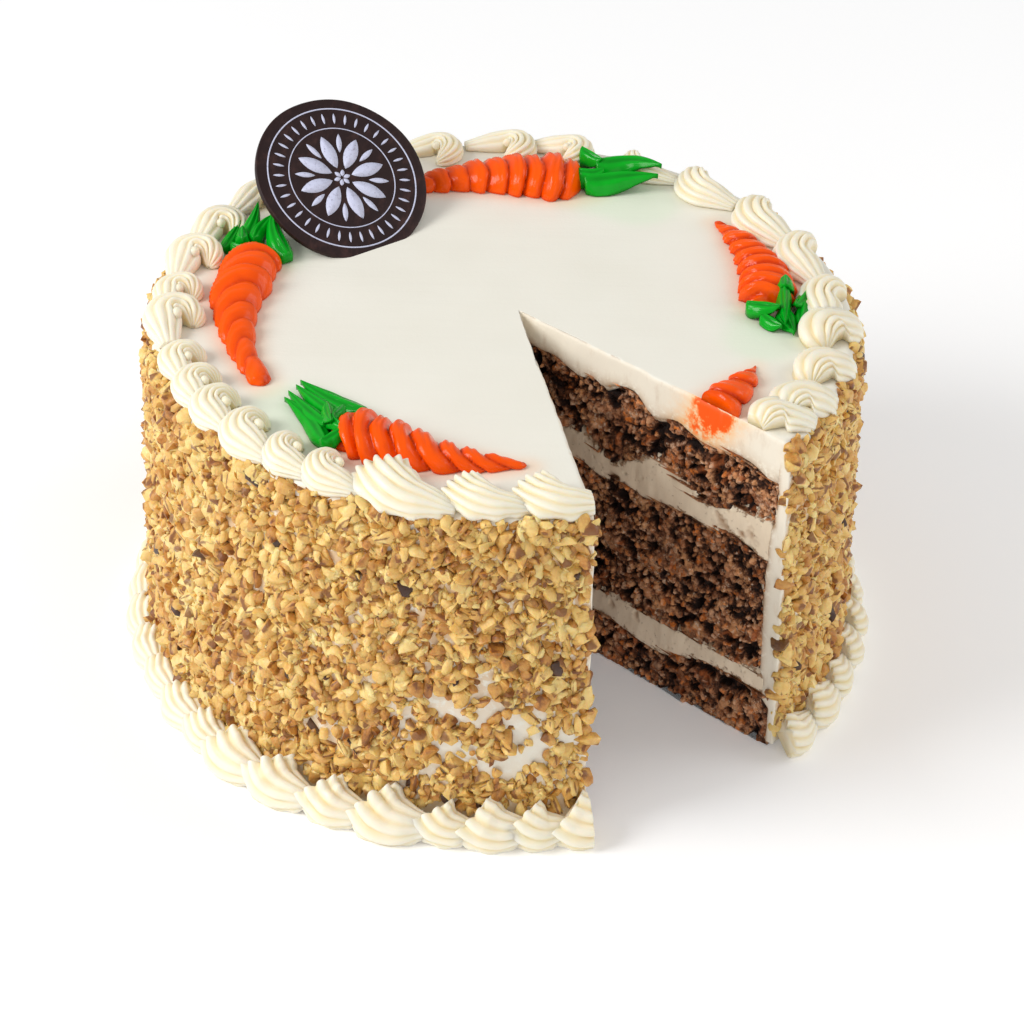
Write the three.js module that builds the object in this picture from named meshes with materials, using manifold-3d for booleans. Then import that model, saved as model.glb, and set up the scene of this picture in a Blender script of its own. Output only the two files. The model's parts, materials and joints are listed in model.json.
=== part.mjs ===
// An 8-inch carrot cake of three sponge layers with one slice taken out, in millimetres, +Z up.
// Pieces are made round the Z axis, standing on z = 0, and the whole is centred at the end.
// An azimuth is in degrees, from -Y towards +X. Borders and carrots are piped that way round.
import * as THREE from "three";
import { mergeVertices } from "three/addons/utils/BufferGeometryUtils.js";
import Module from "manifold-3d";

const wasm = await Module();
wasm.setup();

// ---------------------------------------------------------------- driving dimensions
const GAP = 0.3; // left between pieces that touch

const CAKE_HEIGHT = 108.5; // from the floor to the flat icing on top
const COAT_RADIUS = 104; // cream face of the side at the top
const COAT_FLARE = 0.7; // how much wider the side is at its foot
const COAT_EDGE = 3.5; // rounding between top and side
const COAT_FOOT = 2; // the coat ends this far above the floor, behind the base border

// Each layer's upper level and the radius it reaches inside the coat.
const LAYERS = [
  { name: "sponge_bottom", top: 16, radius: 101.5, material: "sponge" },
  { name: "filling_lower", top: 24, radius: 99, material: "filling" },
  { name: "sponge_middle", top: 64, radius: 95.5, material: "sponge" },
  { name: "filling_upper", top: 76.5, radius: 98, material: "filling" },
  { name: "sponge_top", top: 98, radius: 100.5, material: "sponge" },
];
const LAYER_SAG = 1.6; // how far a layer line wanders from its level inside the cake
const SAG_RADIUS = 50; // where it wanders most; at the side it is back at its level

// The missing slice: the point where its two cuts meet, and the azimuth of each cut.
const SLICE = { apex: [4.1, 4.6], from: 12.2, to: 48.8, reach: 170 };

// Piped borders. Each shell starts on the inside, runs outwards and turns along the border.
// Each border swells at one side.
const TOP_BORDER = {
  count: 29,
  firstAzimuth: 4,
  radius: 95.4, // middle of the border
  level: CAKE_HEIGHT + GAP,
  tilt: 0,
  shell: {
    length: 25, halfWidth: 7, height: 6.8, turn: 46,
    ridges: 4, flute: 0.22, tips: 2, under: 0,
  },
  swell: { azimuth: 0, spread: 75, share: 0.14 },
  rings: [0, 0.28, 0.62, 0.92],
};
const BASE_BORDER = {
  count: 44,
  firstAzimuth: 2,
  radius: 107.2,
  level: 5.4,
  tilt: 52,
  shell: {
    length: 17.5, halfWidth: 7.2, height: 7.6, turn: 46,
    ridges: 3, flute: 0.2, tips: 1.8, under: 14,
  },
  swell: { azimuth: -30, spread: 26, share: 0.26 },
  rings: [0, 0.36, 0.72],
};
const BORDER_UNEVEN = 0.09; // share by which one shell differs in size from the next
const BORDER_DRIFT = 0.08; // share of a pitch by which a shell is out of place

// Piped carrots: each lies along an arc round the axis, from the head to the tip.
const CARROT = { halfWidth: 10.4, height: 9, lobes: 8, notch: 0.22, slant: 0.42, sides: 8 };
const CARROTS = [
  {
    name: "left", head: -113, tip: -59.5, arc: 79, size: 1,
    leaves: [
      { side: 7, spread: -12, length: 19, width: 4.6, rise: 8 },
      { side: -7, spread: 16, length: 16, width: 4.8, rise: 5 },
      { side: 1, spread: 4, length: 13, width: 3.6, rise: 6 },
    ],
  },
  {
    name: "front", head: -36.5, tip: 5.6, arc: 78, size: 0.98,
    leaves: [
      { side: 5.5, spread: 12, length: 21, width: 4.4, rise: 3.5 },
      { side: -5.5, spread: -14, length: 23, width: 5, rise: 4.5 },
      { side: 0, spread: -2, length: 22, width: 3.8, rise: 4 },
    ],
  },
  {
    name: "right", head: 96.5, tip: 133, arc: 81, size: 0.88,
    leaves: [
      { side: 1, spread: 3, length: 17, width: 4, rise: 1 },
      { side: 4, spread: 26, length: 11, width: 4, rise: 3 },
      { side: -5, spread: -66, length: 13, width: 4.4, rise: 3 },
    ],
  },
  {
    name: "back", head: 163, tip: 207, arc: 80, size: 1,
    leaves: [
      { side: 3.5, spread: 4, length: 25, width: 5.6, rise: 5 },
      { side: -4.5, spread: -9, length: 26, width: 6, rise: 2.5 },
      { side: 4, spread: 125, length: 10, width: 3.4, rise: 5 },
    ],
  },
];
// The end of a fifth carrot, which the right cut went through.
const CUT_CARROT = { name: "cut", head: 48, tip: 72.5, arc: 77.5, size: 0.62 };
const LEAF_THICK = 2.4;
const LEAF_WAVE = 0.7;

// The chocolate disc leans back from the vertical and is turned about the Z axis.
const PLAQUE = { radius: 27.2, thickness: 2, centre: [-50.6, 55, 122], lean: 55, turn: 35 };

// Chopped walnut on the side: the largest bits, a golden angle apart, none on the slice's edges.
const NUTS = {
  count: 90, smallest: 2.5, largest: 3.8, lowest: 18.5, highest: 99,
  clear: 2.6, // degrees kept free beside the slice
  flat: 0.8, // thickness as a share of the width
  stand: 0.35, // share of a bit's size by which its middle stands out of the cream
};
const GOLDEN_ANGLE = 137.508;

// Sides of round pieces.
const ROUND_COAT = 56;
const ROUND_LAYER = 20;
const ROUND_PLAQUE = 36;

// ---------------------------------------------------------------- materials
const finish = (color, roughness) =>
  new THREE.MeshStandardMaterial({ color, roughness, metalness: 0, flatShading: true });
const MATERIALS = {
  sponge: finish(0x7a5a40, 0.95),
  filling: finish(0xe6dfc9, 0.6),
  icing: finish(0xf3ecd6, 0.45),
  piping: finish(0xf7f0d8, 0.45),
  carrot: finish(0xf0540c, 0.3),
  leaf: finish(0x0f9a2c, 0.28),
  chocolate: finish(0x2c1716, 0.35),
};

// ---------------------------------------------------------------- small helpers
const radians = THREE.MathUtils.degToRad;

// A repeatable stream of numbers from 0 to 1.
function seeded(seed) {
  let state = seed;
  return () => {
    state = (state * 16807) % 2147483647;
    return state / 2147483647;
  };
}

// The point at an azimuth, a radius and a height.
function around(azimuth, radius, z) {
  const a = radians(azimuth);
  return new THREE.Vector3(radius * Math.sin(a), -radius * Math.cos(a), z);
}

// Reads a value off a list of [place, value] pairs, straight between them.
function along(pairs, place) {
  const next = pairs.findIndex(([at]) => at >= place);
  if (next <= 0) return pairs[next < 0 ? pairs.length - 1 : 0][1];
  const [a, b] = [pairs[next - 1], pairs[next]];
  return THREE.MathUtils.mapLinear(place, a[0], b[0], a[1], b[1]);
}

// A closed surface through rings of equally many points, with a point at each end.
// From the ring "turned" on, the squares between rings are split along their other diagonal.
function skin(startPoint, rings, endPoint, turned = Infinity) {
  const sides = rings[0].length;
  const points = [startPoint, ...rings.flat(), endPoint];
  const end = points.length - 1;
  const at = (ring, side) => 1 + ring * sides + (side % sides);
  const faces = [];
  for (let s = 0; s < sides; s++) {
    faces.push(0, at(0, s + 1), at(0, s));
    for (let r = 0; r + 1 < rings.length; r++) {
      const [a, b, c, d] = [at(r, s), at(r, s + 1), at(r + 1, s + 1), at(r + 1, s)];
      faces.push(...(r < turned ? [a, b, c, a, c, d] : [a, b, d, b, c, d]));
    }
    faces.push(end, at(rings.length - 1, s), at(rings.length - 1, s + 1));
  }
  const geometry = new THREE.BufferGeometry().setFromPoints(points);
  geometry.setIndex(faces);
  return geometry;
}

// Geometry to a manifold solid, turned the right way out.
function toSolid(geometry) {
  const bare = new THREE.BufferGeometry();
  bare.setAttribute("position", geometry.getAttribute("position"));
  if (geometry.index) bare.setIndex(geometry.index);
  const merged = mergeVertices(bare, 1e-4);
  const triVerts = new Uint32Array(merged.index.array);
  const vertProperties = merged.attributes.position.array;
  const solid = new wasm.Manifold(new wasm.Mesh({ numProp: 3, vertProperties, triVerts }));
  if (solid.volume() > 0) return solid;
  for (let i = 0; i < triVerts.length; i += 3) {
    [triVerts[i + 1], triVerts[i + 2]] = [triVerts[i + 2], triVerts[i + 1]];
  }
  return new wasm.Manifold(new wasm.Mesh({ numProp: 3, vertProperties, triVerts }));
}

function placed(geometry, matrix) {
  return toSolid(geometry.clone().applyMatrix4(matrix));
}

function joined(solids) {
  return solids.reduce((whole, solid) => whole.add(solid));
}

// The largest body of a solid, without loose scraps.
function largest(solid) {
  return solid.decompose().reduce((a, b) => (a.volume() > b.volume() ? a : b));
}

function toMesh(name, solid, material) {
  const { vertProperties, triVerts } = solid.getMesh();
  const geometry = new THREE.BufferGeometry();
  geometry.setAttribute("position", new THREE.BufferAttribute(vertProperties, 3));
  geometry.setIndex(new THREE.BufferAttribute(triVerts, 1));
  geometry.computeVertexNormals();
  const mesh = new THREE.Mesh(geometry, MATERIALS[material]);
  mesh.name = name;
  return mesh;
}

// ---------------------------------------------------------------- the missing slice
function slicePrism() {
  const [x, y] = SLICE.apex;
  const outline = new THREE.Shape();
  outline.moveTo(x, y);
  for (const azimuth of [SLICE.from, SLICE.to]) {
    const far = around(azimuth, SLICE.reach, 0);
    outline.lineTo(x + far.x, y + far.y);
  }
  const depth = 2 * CAKE_HEIGHT;
  const prism = new THREE.ExtrudeGeometry(outline, { depth, bevelEnabled: false });
  return toSolid(prism.translate(0, 0, -CAKE_HEIGHT / 2));
}

// Everything under a level.
function slabBelow(level) {
  const size = 2 * SLICE.reach;
  return toSolid(new THREE.BoxGeometry(size, size, CAKE_HEIGHT).translate(0, 0, level - CAKE_HEIGHT / 2));
}

// ---------------------------------------------------------------- sponge layers and fillings
// How far a layer line wanders at a point inside the cake.
function sag(level, x, y) {
  return LAYER_SAG * (Math.sin(x / 23 + level) + Math.cos(y / 19 - level));
}

function layerRing(radius, z) {
  return Array.from({ length: ROUND_LAYER }, (_, i) => around((360 * i) / ROUND_LAYER, radius, z));
}

// The middle of a wandering layer line: its centre point and the ring round it, at height z.
function sagging(level, z) {
  const centre = new THREE.Vector3(0, 0, z + sag(level, 0, 0));
  const ring = layerRing(SAG_RADIUS, z);
  ring.forEach((p) => (p.z += sag(level, p.x, p.y)));
  return { centre, ring };
}

// A round layer between two levels; the line at each level is shared by both its neighbours.
function layer(bottom, top, radius) {
  const low = bottom + GAP / 2;
  const high = top - GAP / 2;
  const onFloor = { centre: new THREE.Vector3(), ring: layerRing(SAG_RADIUS, 0) };
  const base = bottom ? sagging(bottom, low) : onFloor;
  const roof = sagging(top, high);
  const wall = [layerRing(radius, bottom ? low : 0), layerRing(radius, high)];
  return toSolid(skin(base.centre, [base.ring, ...wall, roof.ring], roof.centre, 2));
}

function layers() {
  return LAYERS.map(({ name, top, radius, material }, i) => {
    const bottom = i ? LAYERS[i - 1].top : 0;
    return toMesh(name, layer(bottom, top, radius).subtract(slice), material);
  });
}

// ---------------------------------------------------------------- icing coat
// The coat's outer face as a solid, grown by a margin.
function coatBlock(margin) {
  const profile = new THREE.Path();
  const [radius, top] = [COAT_RADIUS + margin, CAKE_HEIGHT + margin];
  profile.moveTo(0, COAT_FOOT - margin);
  profile.lineTo(radius + COAT_FLARE, COAT_FOOT - margin);
  profile.lineTo(radius, top - COAT_EDGE);
  profile.absarc(radius - COAT_EDGE, top - COAT_EDGE, COAT_EDGE, 0, Math.PI / 2);
  profile.lineTo(0, top);
  const lathe = new THREE.LatheGeometry(profile.getPoints(2), ROUND_COAT);
  return toSolid(lathe.rotateX(Math.PI / 2));
}

// The room inside the coat: the stack of layers, grown by the gap.
function coreRoom() {
  // A step between two layers lies a gap clear of the wider one.
  const step = (i) => (LAYERS[i].radius > LAYERS[i + 1].radius ? GAP : -GAP);
  const walls = LAYERS.flatMap(({ top, radius }, i) => {
    const low = i ? LAYERS[i - 1].top + step(i - 1) : -GAP;
    const high = i + 1 < LAYERS.length ? top + step(i) : top + GAP;
    return [low, high].map((level) => layerRing(radius + GAP, level));
  });
  const roof = sagging(LAYERS.at(-1).top, LAYERS.at(-1).top + GAP);
  const rings = [...walls, roof.ring];
  return toSolid(skin(new THREE.Vector3(0, 0, -GAP), rings, roof.centre, rings.length - 2));
}

// One chopped bit: an uneven pebble, flatter one way.
function nutBit(size, draw) {
  const pebble = new THREE.OctahedronGeometry(size, 0);
  const bit = mergeVertices(pebble.deleteAttribute("normal").deleteAttribute("uv"));
  const position = bit.attributes.position;
  const corner = new THREE.Vector3();
  for (let i = 0; i < position.count; i++) {
    corner.fromBufferAttribute(position, i).multiplyScalar(THREE.MathUtils.lerp(0.8, 1.25, draw()));
    corner.x += size * THREE.MathUtils.lerp(-0.3, 0.3, draw());
    corner.y *= NUTS.flat;
    position.setXYZ(i, ...corner);
  }
  return bit;
}

function nutPlaces() {
  const draw = seeded(41);
  const places = [];
  for (let i = 0; i < NUTS.count; i++) {
    const azimuth = (i * GOLDEN_ANGLE) % 360;
    const z = THREE.MathUtils.lerp(NUTS.lowest, NUTS.highest, (i + draw()) / NUTS.count);
    const size = THREE.MathUtils.lerp(NUTS.smallest, NUTS.largest, draw());
    const spin = new THREE.Euler(radians(360 * draw()), radians(360 * draw()), radians(azimuth));
    const clear = azimuth < SLICE.from - NUTS.clear || azimuth > SLICE.to + NUTS.clear;
    const bit = nutBit(size, draw);
    if (clear) places.push({ bit, spin, at: around(azimuth, COAT_RADIUS + NUTS.stand * size, z) });
  }
  return places;
}

function icingCoat() {
  const bits = nutPlaces().map(({ bit, spin, at }) => {
    const turn = new THREE.Quaternion().setFromEuler(spin);
    return placed(bit, new THREE.Matrix4().compose(at, turn, new THREE.Vector3(1, 1, 1)));
  });
  const block = joined([coatBlock(0), ...bits]);
  const coat = block.subtract(coreRoom()).subtract(slice).subtract(plaqueDisc(GAP));
  return toMesh("icing_coat", largest(coat), "icing");
}

// ---------------------------------------------------------------- piped borders
// Width and height of a shell along its length, as shares of the largest.
const SHELL_WIDTH = [[0, 0.74], [0.3, 1], [0.65, 0.78], [1, 0.45]];
const SHELL_HEIGHT = [[0, 0.85], [0.25, 1], [0.6, 0.66], [1, 0.22]];
const SHELL_MOUTH = { share: 0.08, up: 0.35 }; // the middle of the head's end, as shares of length and height
const SHELL_END = { share: 1, up: 0.1 }; // the tail's point
const SHELL_BEND = 0.6; // share of the length that turns
const SHELL_TUCK = 14; // degrees by which the tail turns in under the next head

// The middle line of a shell: it sets out across the border and turns to run along it.
function shellLine({ length, turn }) {
  const steps = 60;
  const line = [];
  const place = new THREE.Vector2();
  for (let i = 0; i <= steps; i++) {
    const share = i / steps;
    const heading = radians(SHELL_TUCK * share - turn * Math.max(0, 1 - share / SHELL_BEND));
    line.push({ place: place.clone(), heading });
    place.x += (Math.cos(heading) * length) / steps;
    place.y += (Math.sin(heading) * length) / steps;
  }
  const middle = (line[0].place.y + place.y) / 2;
  line.forEach((step) => (step.place.y -= middle));
  return line;
}

// A fluted shell: X runs along the border, Y towards the inside, Z away from what it lies on.
function pipedShell({ shell, rings: shares }) {
  const line = shellLine(shell);
  const sides = 2 * shell.ridges + 1;
  const at = (share, back, across, up) => {
    const { place, heading } = line[Math.round(share * (line.length - 1))];
    const [c, s] = [Math.cos(heading), Math.sin(heading)];
    return new THREE.Vector3(place.x - back * c - across * s, place.y - back * s + across * c, up);
  };
  const rings = shares.map((share) => {
    const width = shell.halfWidth * along(SHELL_WIDTH, share);
    const height = shell.height * along(SHELL_HEIGHT, share);
    return Array.from({ length: sides }, (_, i) => {
      const angle = radians(-shell.under + ((180 + 2 * shell.under) * i) / (sides - 1));
      const ridge = i % 2 === 1;
      const swell = ridge ? 1 : 1 - shell.flute;
      const back = share === 0 && ridge ? shell.tips : 0;
      const across = width * Math.cos(angle) * swell;
      return at(share, back, across, height * Math.sin(angle) * swell);
    });
  });
  const [mouth, tail] = [SHELL_MOUTH, SHELL_END].map(({ share, up }) => at(share, 0, 0, up * shell.height));
  return skin(mouth, rings, tail);
}

// Places a shell at an azimuth, tilted towards the outside.
function shellPlace({ radius, level, tilt }, azimuth, size) {
  const [a, t] = [radians(azimuth), radians(tilt)];
  const [c, s] = [Math.cos(t), Math.sin(t)];
  const piping = new THREE.Vector3(Math.cos(a), Math.sin(a), 0);
  const inward = new THREE.Vector3(-Math.sin(a) * c, Math.cos(a) * c, s);
  const away = new THREE.Vector3(Math.sin(a) * s, -Math.cos(a) * s, c);
  const matrix = new THREE.Matrix4().makeBasis(piping, inward, away);
  matrix.scale(new THREE.Vector3(size, size, size));
  return matrix.setPosition(around(azimuth, radius, level));
}

function swellAt(swell, azimuth) {
  const off = THREE.MathUtils.euclideanModulo(azimuth - swell.azimuth + 180, 360) - 180;
  return swell.share * Math.exp(-((off / swell.spread) ** 2));
}

function border(spec, seed) {
  const draw = seeded(seed);
  const shell = pipedShell(spec);
  const shells = Array.from({ length: spec.count }, (_, i) => {
    const drift = BORDER_DRIFT * (2 * draw() - 1);
    const azimuth = spec.firstAzimuth + (360 * (i + drift)) / spec.count;
    const size = 1 + BORDER_UNEVEN * (2 * draw() - 1) + swellAt(spec.swell, azimuth);
    return placed(shell, shellPlace(spec, azimuth, size));
  });
  return joined(shells);
}

function borders() {
  const room = coatBlock(GAP);
  const base = border(BASE_BORDER, 12).subtract(room).subtract(belowFloor);
  const top = border(TOP_BORDER, 5);
  return [
    toMesh("border_top", largest(top.subtract(slice)), "piping"),
    toMesh("border_base", largest(base.subtract(slice)), "piping"),
  ];
}

// ---------------------------------------------------------------- carrots
const CARROT_WIDTH = [[0, 0.62], [0.08, 0.92], [0.2, 1], [0.5, 0.76], [0.8, 0.44], [0.95, 0.24], [1, 0.12]];

// The frame of a carrot's line at a share of its length: the place, and the way towards the tip.
function carrotFrame({ head, tip, arc }, share) {
  const azimuth = THREE.MathUtils.lerp(head, tip, share);
  const a = radians(azimuth);
  return {
    place: around(azimuth, arc, CAKE_HEIGHT + GAP),
    forward: new THREE.Vector3(Math.cos(a), Math.sin(a), 0),
    outward: new THREE.Vector3(Math.sin(a), -Math.cos(a), 0),
  };
}

// A piped carrot: overlapping lobes that shrink towards the tip, flat where it lies.
function carrotBody(carrot, margin) {
  const sides = CARROT.sides;
  const rings = [];
  for (let i = 0; i < 2 * CARROT.lobes; i++) {
    const share = (i + 0.4) / (2 * CARROT.lobes);
    const lobe = i % 2 === 0 ? 1 : 1 - CARROT.notch;
    const size = carrot.size * along(CARROT_WIDTH, share) * lobe;
    const width = CARROT.halfWidth * size + margin;
    const height = CARROT.height * size + margin;
    const { place, forward, outward } = carrotFrame(carrot, share);
    rings.push(
      Array.from({ length: sides }, (_, s) => {
        const angle = (Math.PI * s) / (sides - 1);
        const across = width * Math.cos(angle);
        return place
          .clone()
          .addScaledVector(outward, across)
          .addScaledVector(forward, CARROT.slant * across * size)
          .setZ(place.z - margin + height * Math.sin(angle));
      }),
    );
  }
  const ends = [0, 1].map((share) => {
    const { place, forward } = carrotFrame(carrot, share);
    return place.addScaledVector(forward, share ? margin : -margin).setZ(place.z + 1);
  });
  return toSolid(skin(ends[0], rings, ends[1]));
}

// A piped leaf: a thin wavy blade with a raised middle and a point.
function leafBlade(carrot, { side, spread, length, width, rise }) {
  const { place, forward, outward } = carrotFrame(carrot, 0.03);
  const angle = radians(spread);
  const way = forward.clone().multiplyScalar(-Math.cos(angle)).addScaledVector(outward, Math.sin(angle));
  const across = new THREE.Vector3(0, 0, 1).cross(way);
  const base = place.clone().addScaledVector(outward, side).addScaledVector(way, -3);
  const spans = [-1, 0, 1];
  const at = (share, span, half, face) => {
    const ridge = 1 - Math.abs(span);
    const wave = LEAF_WAVE * Math.sin(9 * share + 2 * span) * Math.abs(span);
    const lift = 1.6 + rise * share ** 1.5 + 0.9 * ridge + wave;
    return base
      .clone()
      .addScaledVector(way, length * share)
      .addScaledVector(across, half * span)
      .setZ(base.z + lift + face * LEAF_THICK * 0.5 * (0.35 + 0.65 * ridge));
  };
  const rings = [0.06, 0.3, 0.55, 0.8].map((share) => {
    const half = width * Math.sin(Math.PI * (0.2 + 0.78 * share) ** 1.15);
    const upper = spans.map((span) => at(share, span, half, 1));
    const lower = spans.map((span) => at(share, span, half, -1)).reverse();
    return [...upper, ...lower];
  });
  return toSolid(skin(at(0, 0, 0, 0), rings, at(1, 0, 0, 0)));
}

// The leaves of a carrot with the blobs that join them.
function leafTuft(carrot) {
  const { place, forward, outward } = carrotFrame(carrot, 0.03);
  const blobs = [[-5, 0.5, 3.4], [0, -1.5, 4], [5, 0.5, 3.3]].map(([side, ahead, size]) => {
    const blob = new THREE.OctahedronGeometry(size, 0).scale(1, 1, 0.9);
    const at = place.clone().addScaledVector(outward, side).addScaledVector(forward, ahead);
    return placed(blob, new THREE.Matrix4().setPosition(at.x, at.y, at.z + 0.62 * size + 1.2));
  });
  const tuft = joined([...blobs, ...carrot.leaves.map((leaf) => leafBlade(carrot, leaf))]);
  return tuft.subtract(belowTop).subtract(carrotBody(carrot, GAP)).subtract(plaqueDisc(GAP));
}

function carrots() {
  const whole = CARROTS.flatMap((carrot) => [
    toMesh(`carrot_${carrot.name}`, carrotBody(carrot, 0), "carrot"),
    toMesh(`leaves_${carrot.name}`, largest(leafTuft(carrot)), "leaf"),
  ]);
  const cut = largest(carrotBody(CUT_CARROT, 0).subtract(slice));
  return [...whole, toMesh("carrot_cut", cut, "carrot")];
}

// ---------------------------------------------------------------- chocolate plaque
function plaqueDisc(margin) {
  const disc = new THREE.CylinderGeometry(
    PLAQUE.radius + margin,
    PLAQUE.radius + margin,
    PLAQUE.thickness + 2 * margin,
    ROUND_PLAQUE,
  );
  disc.rotateX(-radians(PLAQUE.lean)).rotateZ(radians(PLAQUE.turn));
  return toSolid(disc.translate(...PLAQUE.centre));
}

// ---------------------------------------------------------------- the cake
const slice = slicePrism();
const belowFloor = slabBelow(0);
const belowTop = slabBelow(CAKE_HEIGHT + GAP);

const cake = new THREE.Group();
cake.add(...layers());
cake.add(icingCoat());
cake.add(...borders());
cake.add(...carrots());
cake.add(toMesh("plaque", plaqueDisc(0), "chocolate"));

// The uneven border is a little wider on one side: the whole is moved to stand centred on the origin.
const centre = new THREE.Box3().setFromObject(cake, true).getCenter(new THREE.Vector3());
cake.position.set(-centre.x, -centre.y, 0);

const group = new THREE.Group();
group.name = "carrot_cake";
group.add(cake);

export default group;
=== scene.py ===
"""Looks of a round three-layer carrot cake with one slice missing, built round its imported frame.

Lengths are in millimetres round the cake's own axis until a mesh is made, which is in metres.
An azimuth is in degrees, from -Y towards +X. Borders and carrots are piped that way round.
"""

from __future__ import annotations

import functools
import itertools
import json
import logging
import math
from collections.abc import Mapping, Sequence
from dataclasses import dataclass, field
from enum import Enum
from typing import Any

import bmesh
import bpy
import numpy as np
from mathutils import Matrix, Vector

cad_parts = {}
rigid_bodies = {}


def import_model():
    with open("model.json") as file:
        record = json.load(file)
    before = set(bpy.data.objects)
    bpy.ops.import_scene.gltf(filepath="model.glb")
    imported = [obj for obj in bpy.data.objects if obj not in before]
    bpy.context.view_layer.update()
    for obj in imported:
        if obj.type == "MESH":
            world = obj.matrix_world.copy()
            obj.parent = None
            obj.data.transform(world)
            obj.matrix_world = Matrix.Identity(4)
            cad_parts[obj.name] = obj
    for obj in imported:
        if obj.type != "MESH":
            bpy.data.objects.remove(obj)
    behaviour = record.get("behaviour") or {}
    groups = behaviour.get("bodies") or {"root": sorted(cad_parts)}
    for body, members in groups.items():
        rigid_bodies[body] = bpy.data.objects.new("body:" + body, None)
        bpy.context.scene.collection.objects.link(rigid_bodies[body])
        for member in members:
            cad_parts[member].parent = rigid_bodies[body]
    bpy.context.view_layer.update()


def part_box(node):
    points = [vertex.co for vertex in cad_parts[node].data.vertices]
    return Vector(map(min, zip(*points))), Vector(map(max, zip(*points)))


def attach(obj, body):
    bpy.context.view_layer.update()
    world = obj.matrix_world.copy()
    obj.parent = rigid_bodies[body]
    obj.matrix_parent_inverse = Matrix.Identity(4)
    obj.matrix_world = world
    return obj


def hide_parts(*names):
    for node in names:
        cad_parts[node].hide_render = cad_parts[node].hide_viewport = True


MM = 0.001
BODY = "root"
LOG = logging.getLogger("carrot_cake")
Colour = tuple[float, float, float]
Point = tuple[float, float, float]
Course = tuple[tuple[float, float], ...]
Array = np.ndarray
Material, Mesh, Object = bpy.types.Material, bpy.types.Mesh, bpy.types.Object
Node, Socket = bpy.types.Node, bpy.types.NodeSocket
WHITE: Colour = (1.0, 1.0, 1.0)
NO_RUN = np.zeros((1, 3))  # place along the piping of a cap

# --- driving dimensions
CAKE_HEIGHT = 108.5
COAT_RADIUS = 104.0
COAT_FLARE = 0.7
COAT_EDGE = 3.5
COAT_FOOT = 2.0
GAP = 0.3


@functools.cache
def cake_axis() -> Array:
    """Where the cake's own axis stands, as x and y in millimetres."""
    low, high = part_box("sponge_middle")
    return np.array([(low.x + high.x) / 2, (low.y + high.y) / 2]) / MM


# --- node graphs
class Value:
    """A number socket that takes part in Python arithmetic by adding Math nodes."""

    def __init__(self, graph: Graph, socket: Socket) -> None:
        """Wraps a socket."""
        self.graph = graph
        self.socket = socket

    def __add__(self, other: Any) -> Value:
        """Sum."""
        return self.graph.math("ADD", self, other)

    __radd__ = __add__

    def __sub__(self, other: Any) -> Value:
        """Difference."""
        return self.graph.math("SUBTRACT", self, other)

    def __rsub__(self, other: Any) -> Value:
        """Reflected difference."""
        return self.graph.math("SUBTRACT", other, self)

    def __mul__(self, other: Any) -> Value:
        """Product."""
        return self.graph.math("MULTIPLY", self, other)

    __rmul__ = __mul__

    def __truediv__(self, other: Any) -> Value:
        """Quotient."""
        return self.graph.math("DIVIDE", self, other)

    def clamp(self) -> Value:
        """The value held between zero and one."""
        return self.graph.math("ADD", self, 0.0, clamp=True)

    def between(self, low: float, high: float) -> Value:
        """Rises smoothly from zero to one.

        Args:
            low: Where the result is zero.
            high: Where the result is one.

        Returns:
            The smoothed step.
        """
        settings = {"interpolation_type": "SMOOTHSTEP"}
        inputs = {"Value": self, "From Min": low, "From Max": high}
        return Value(self.graph, self.graph.node("ShaderNodeMapRange", settings, inputs).outputs[0])


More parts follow.
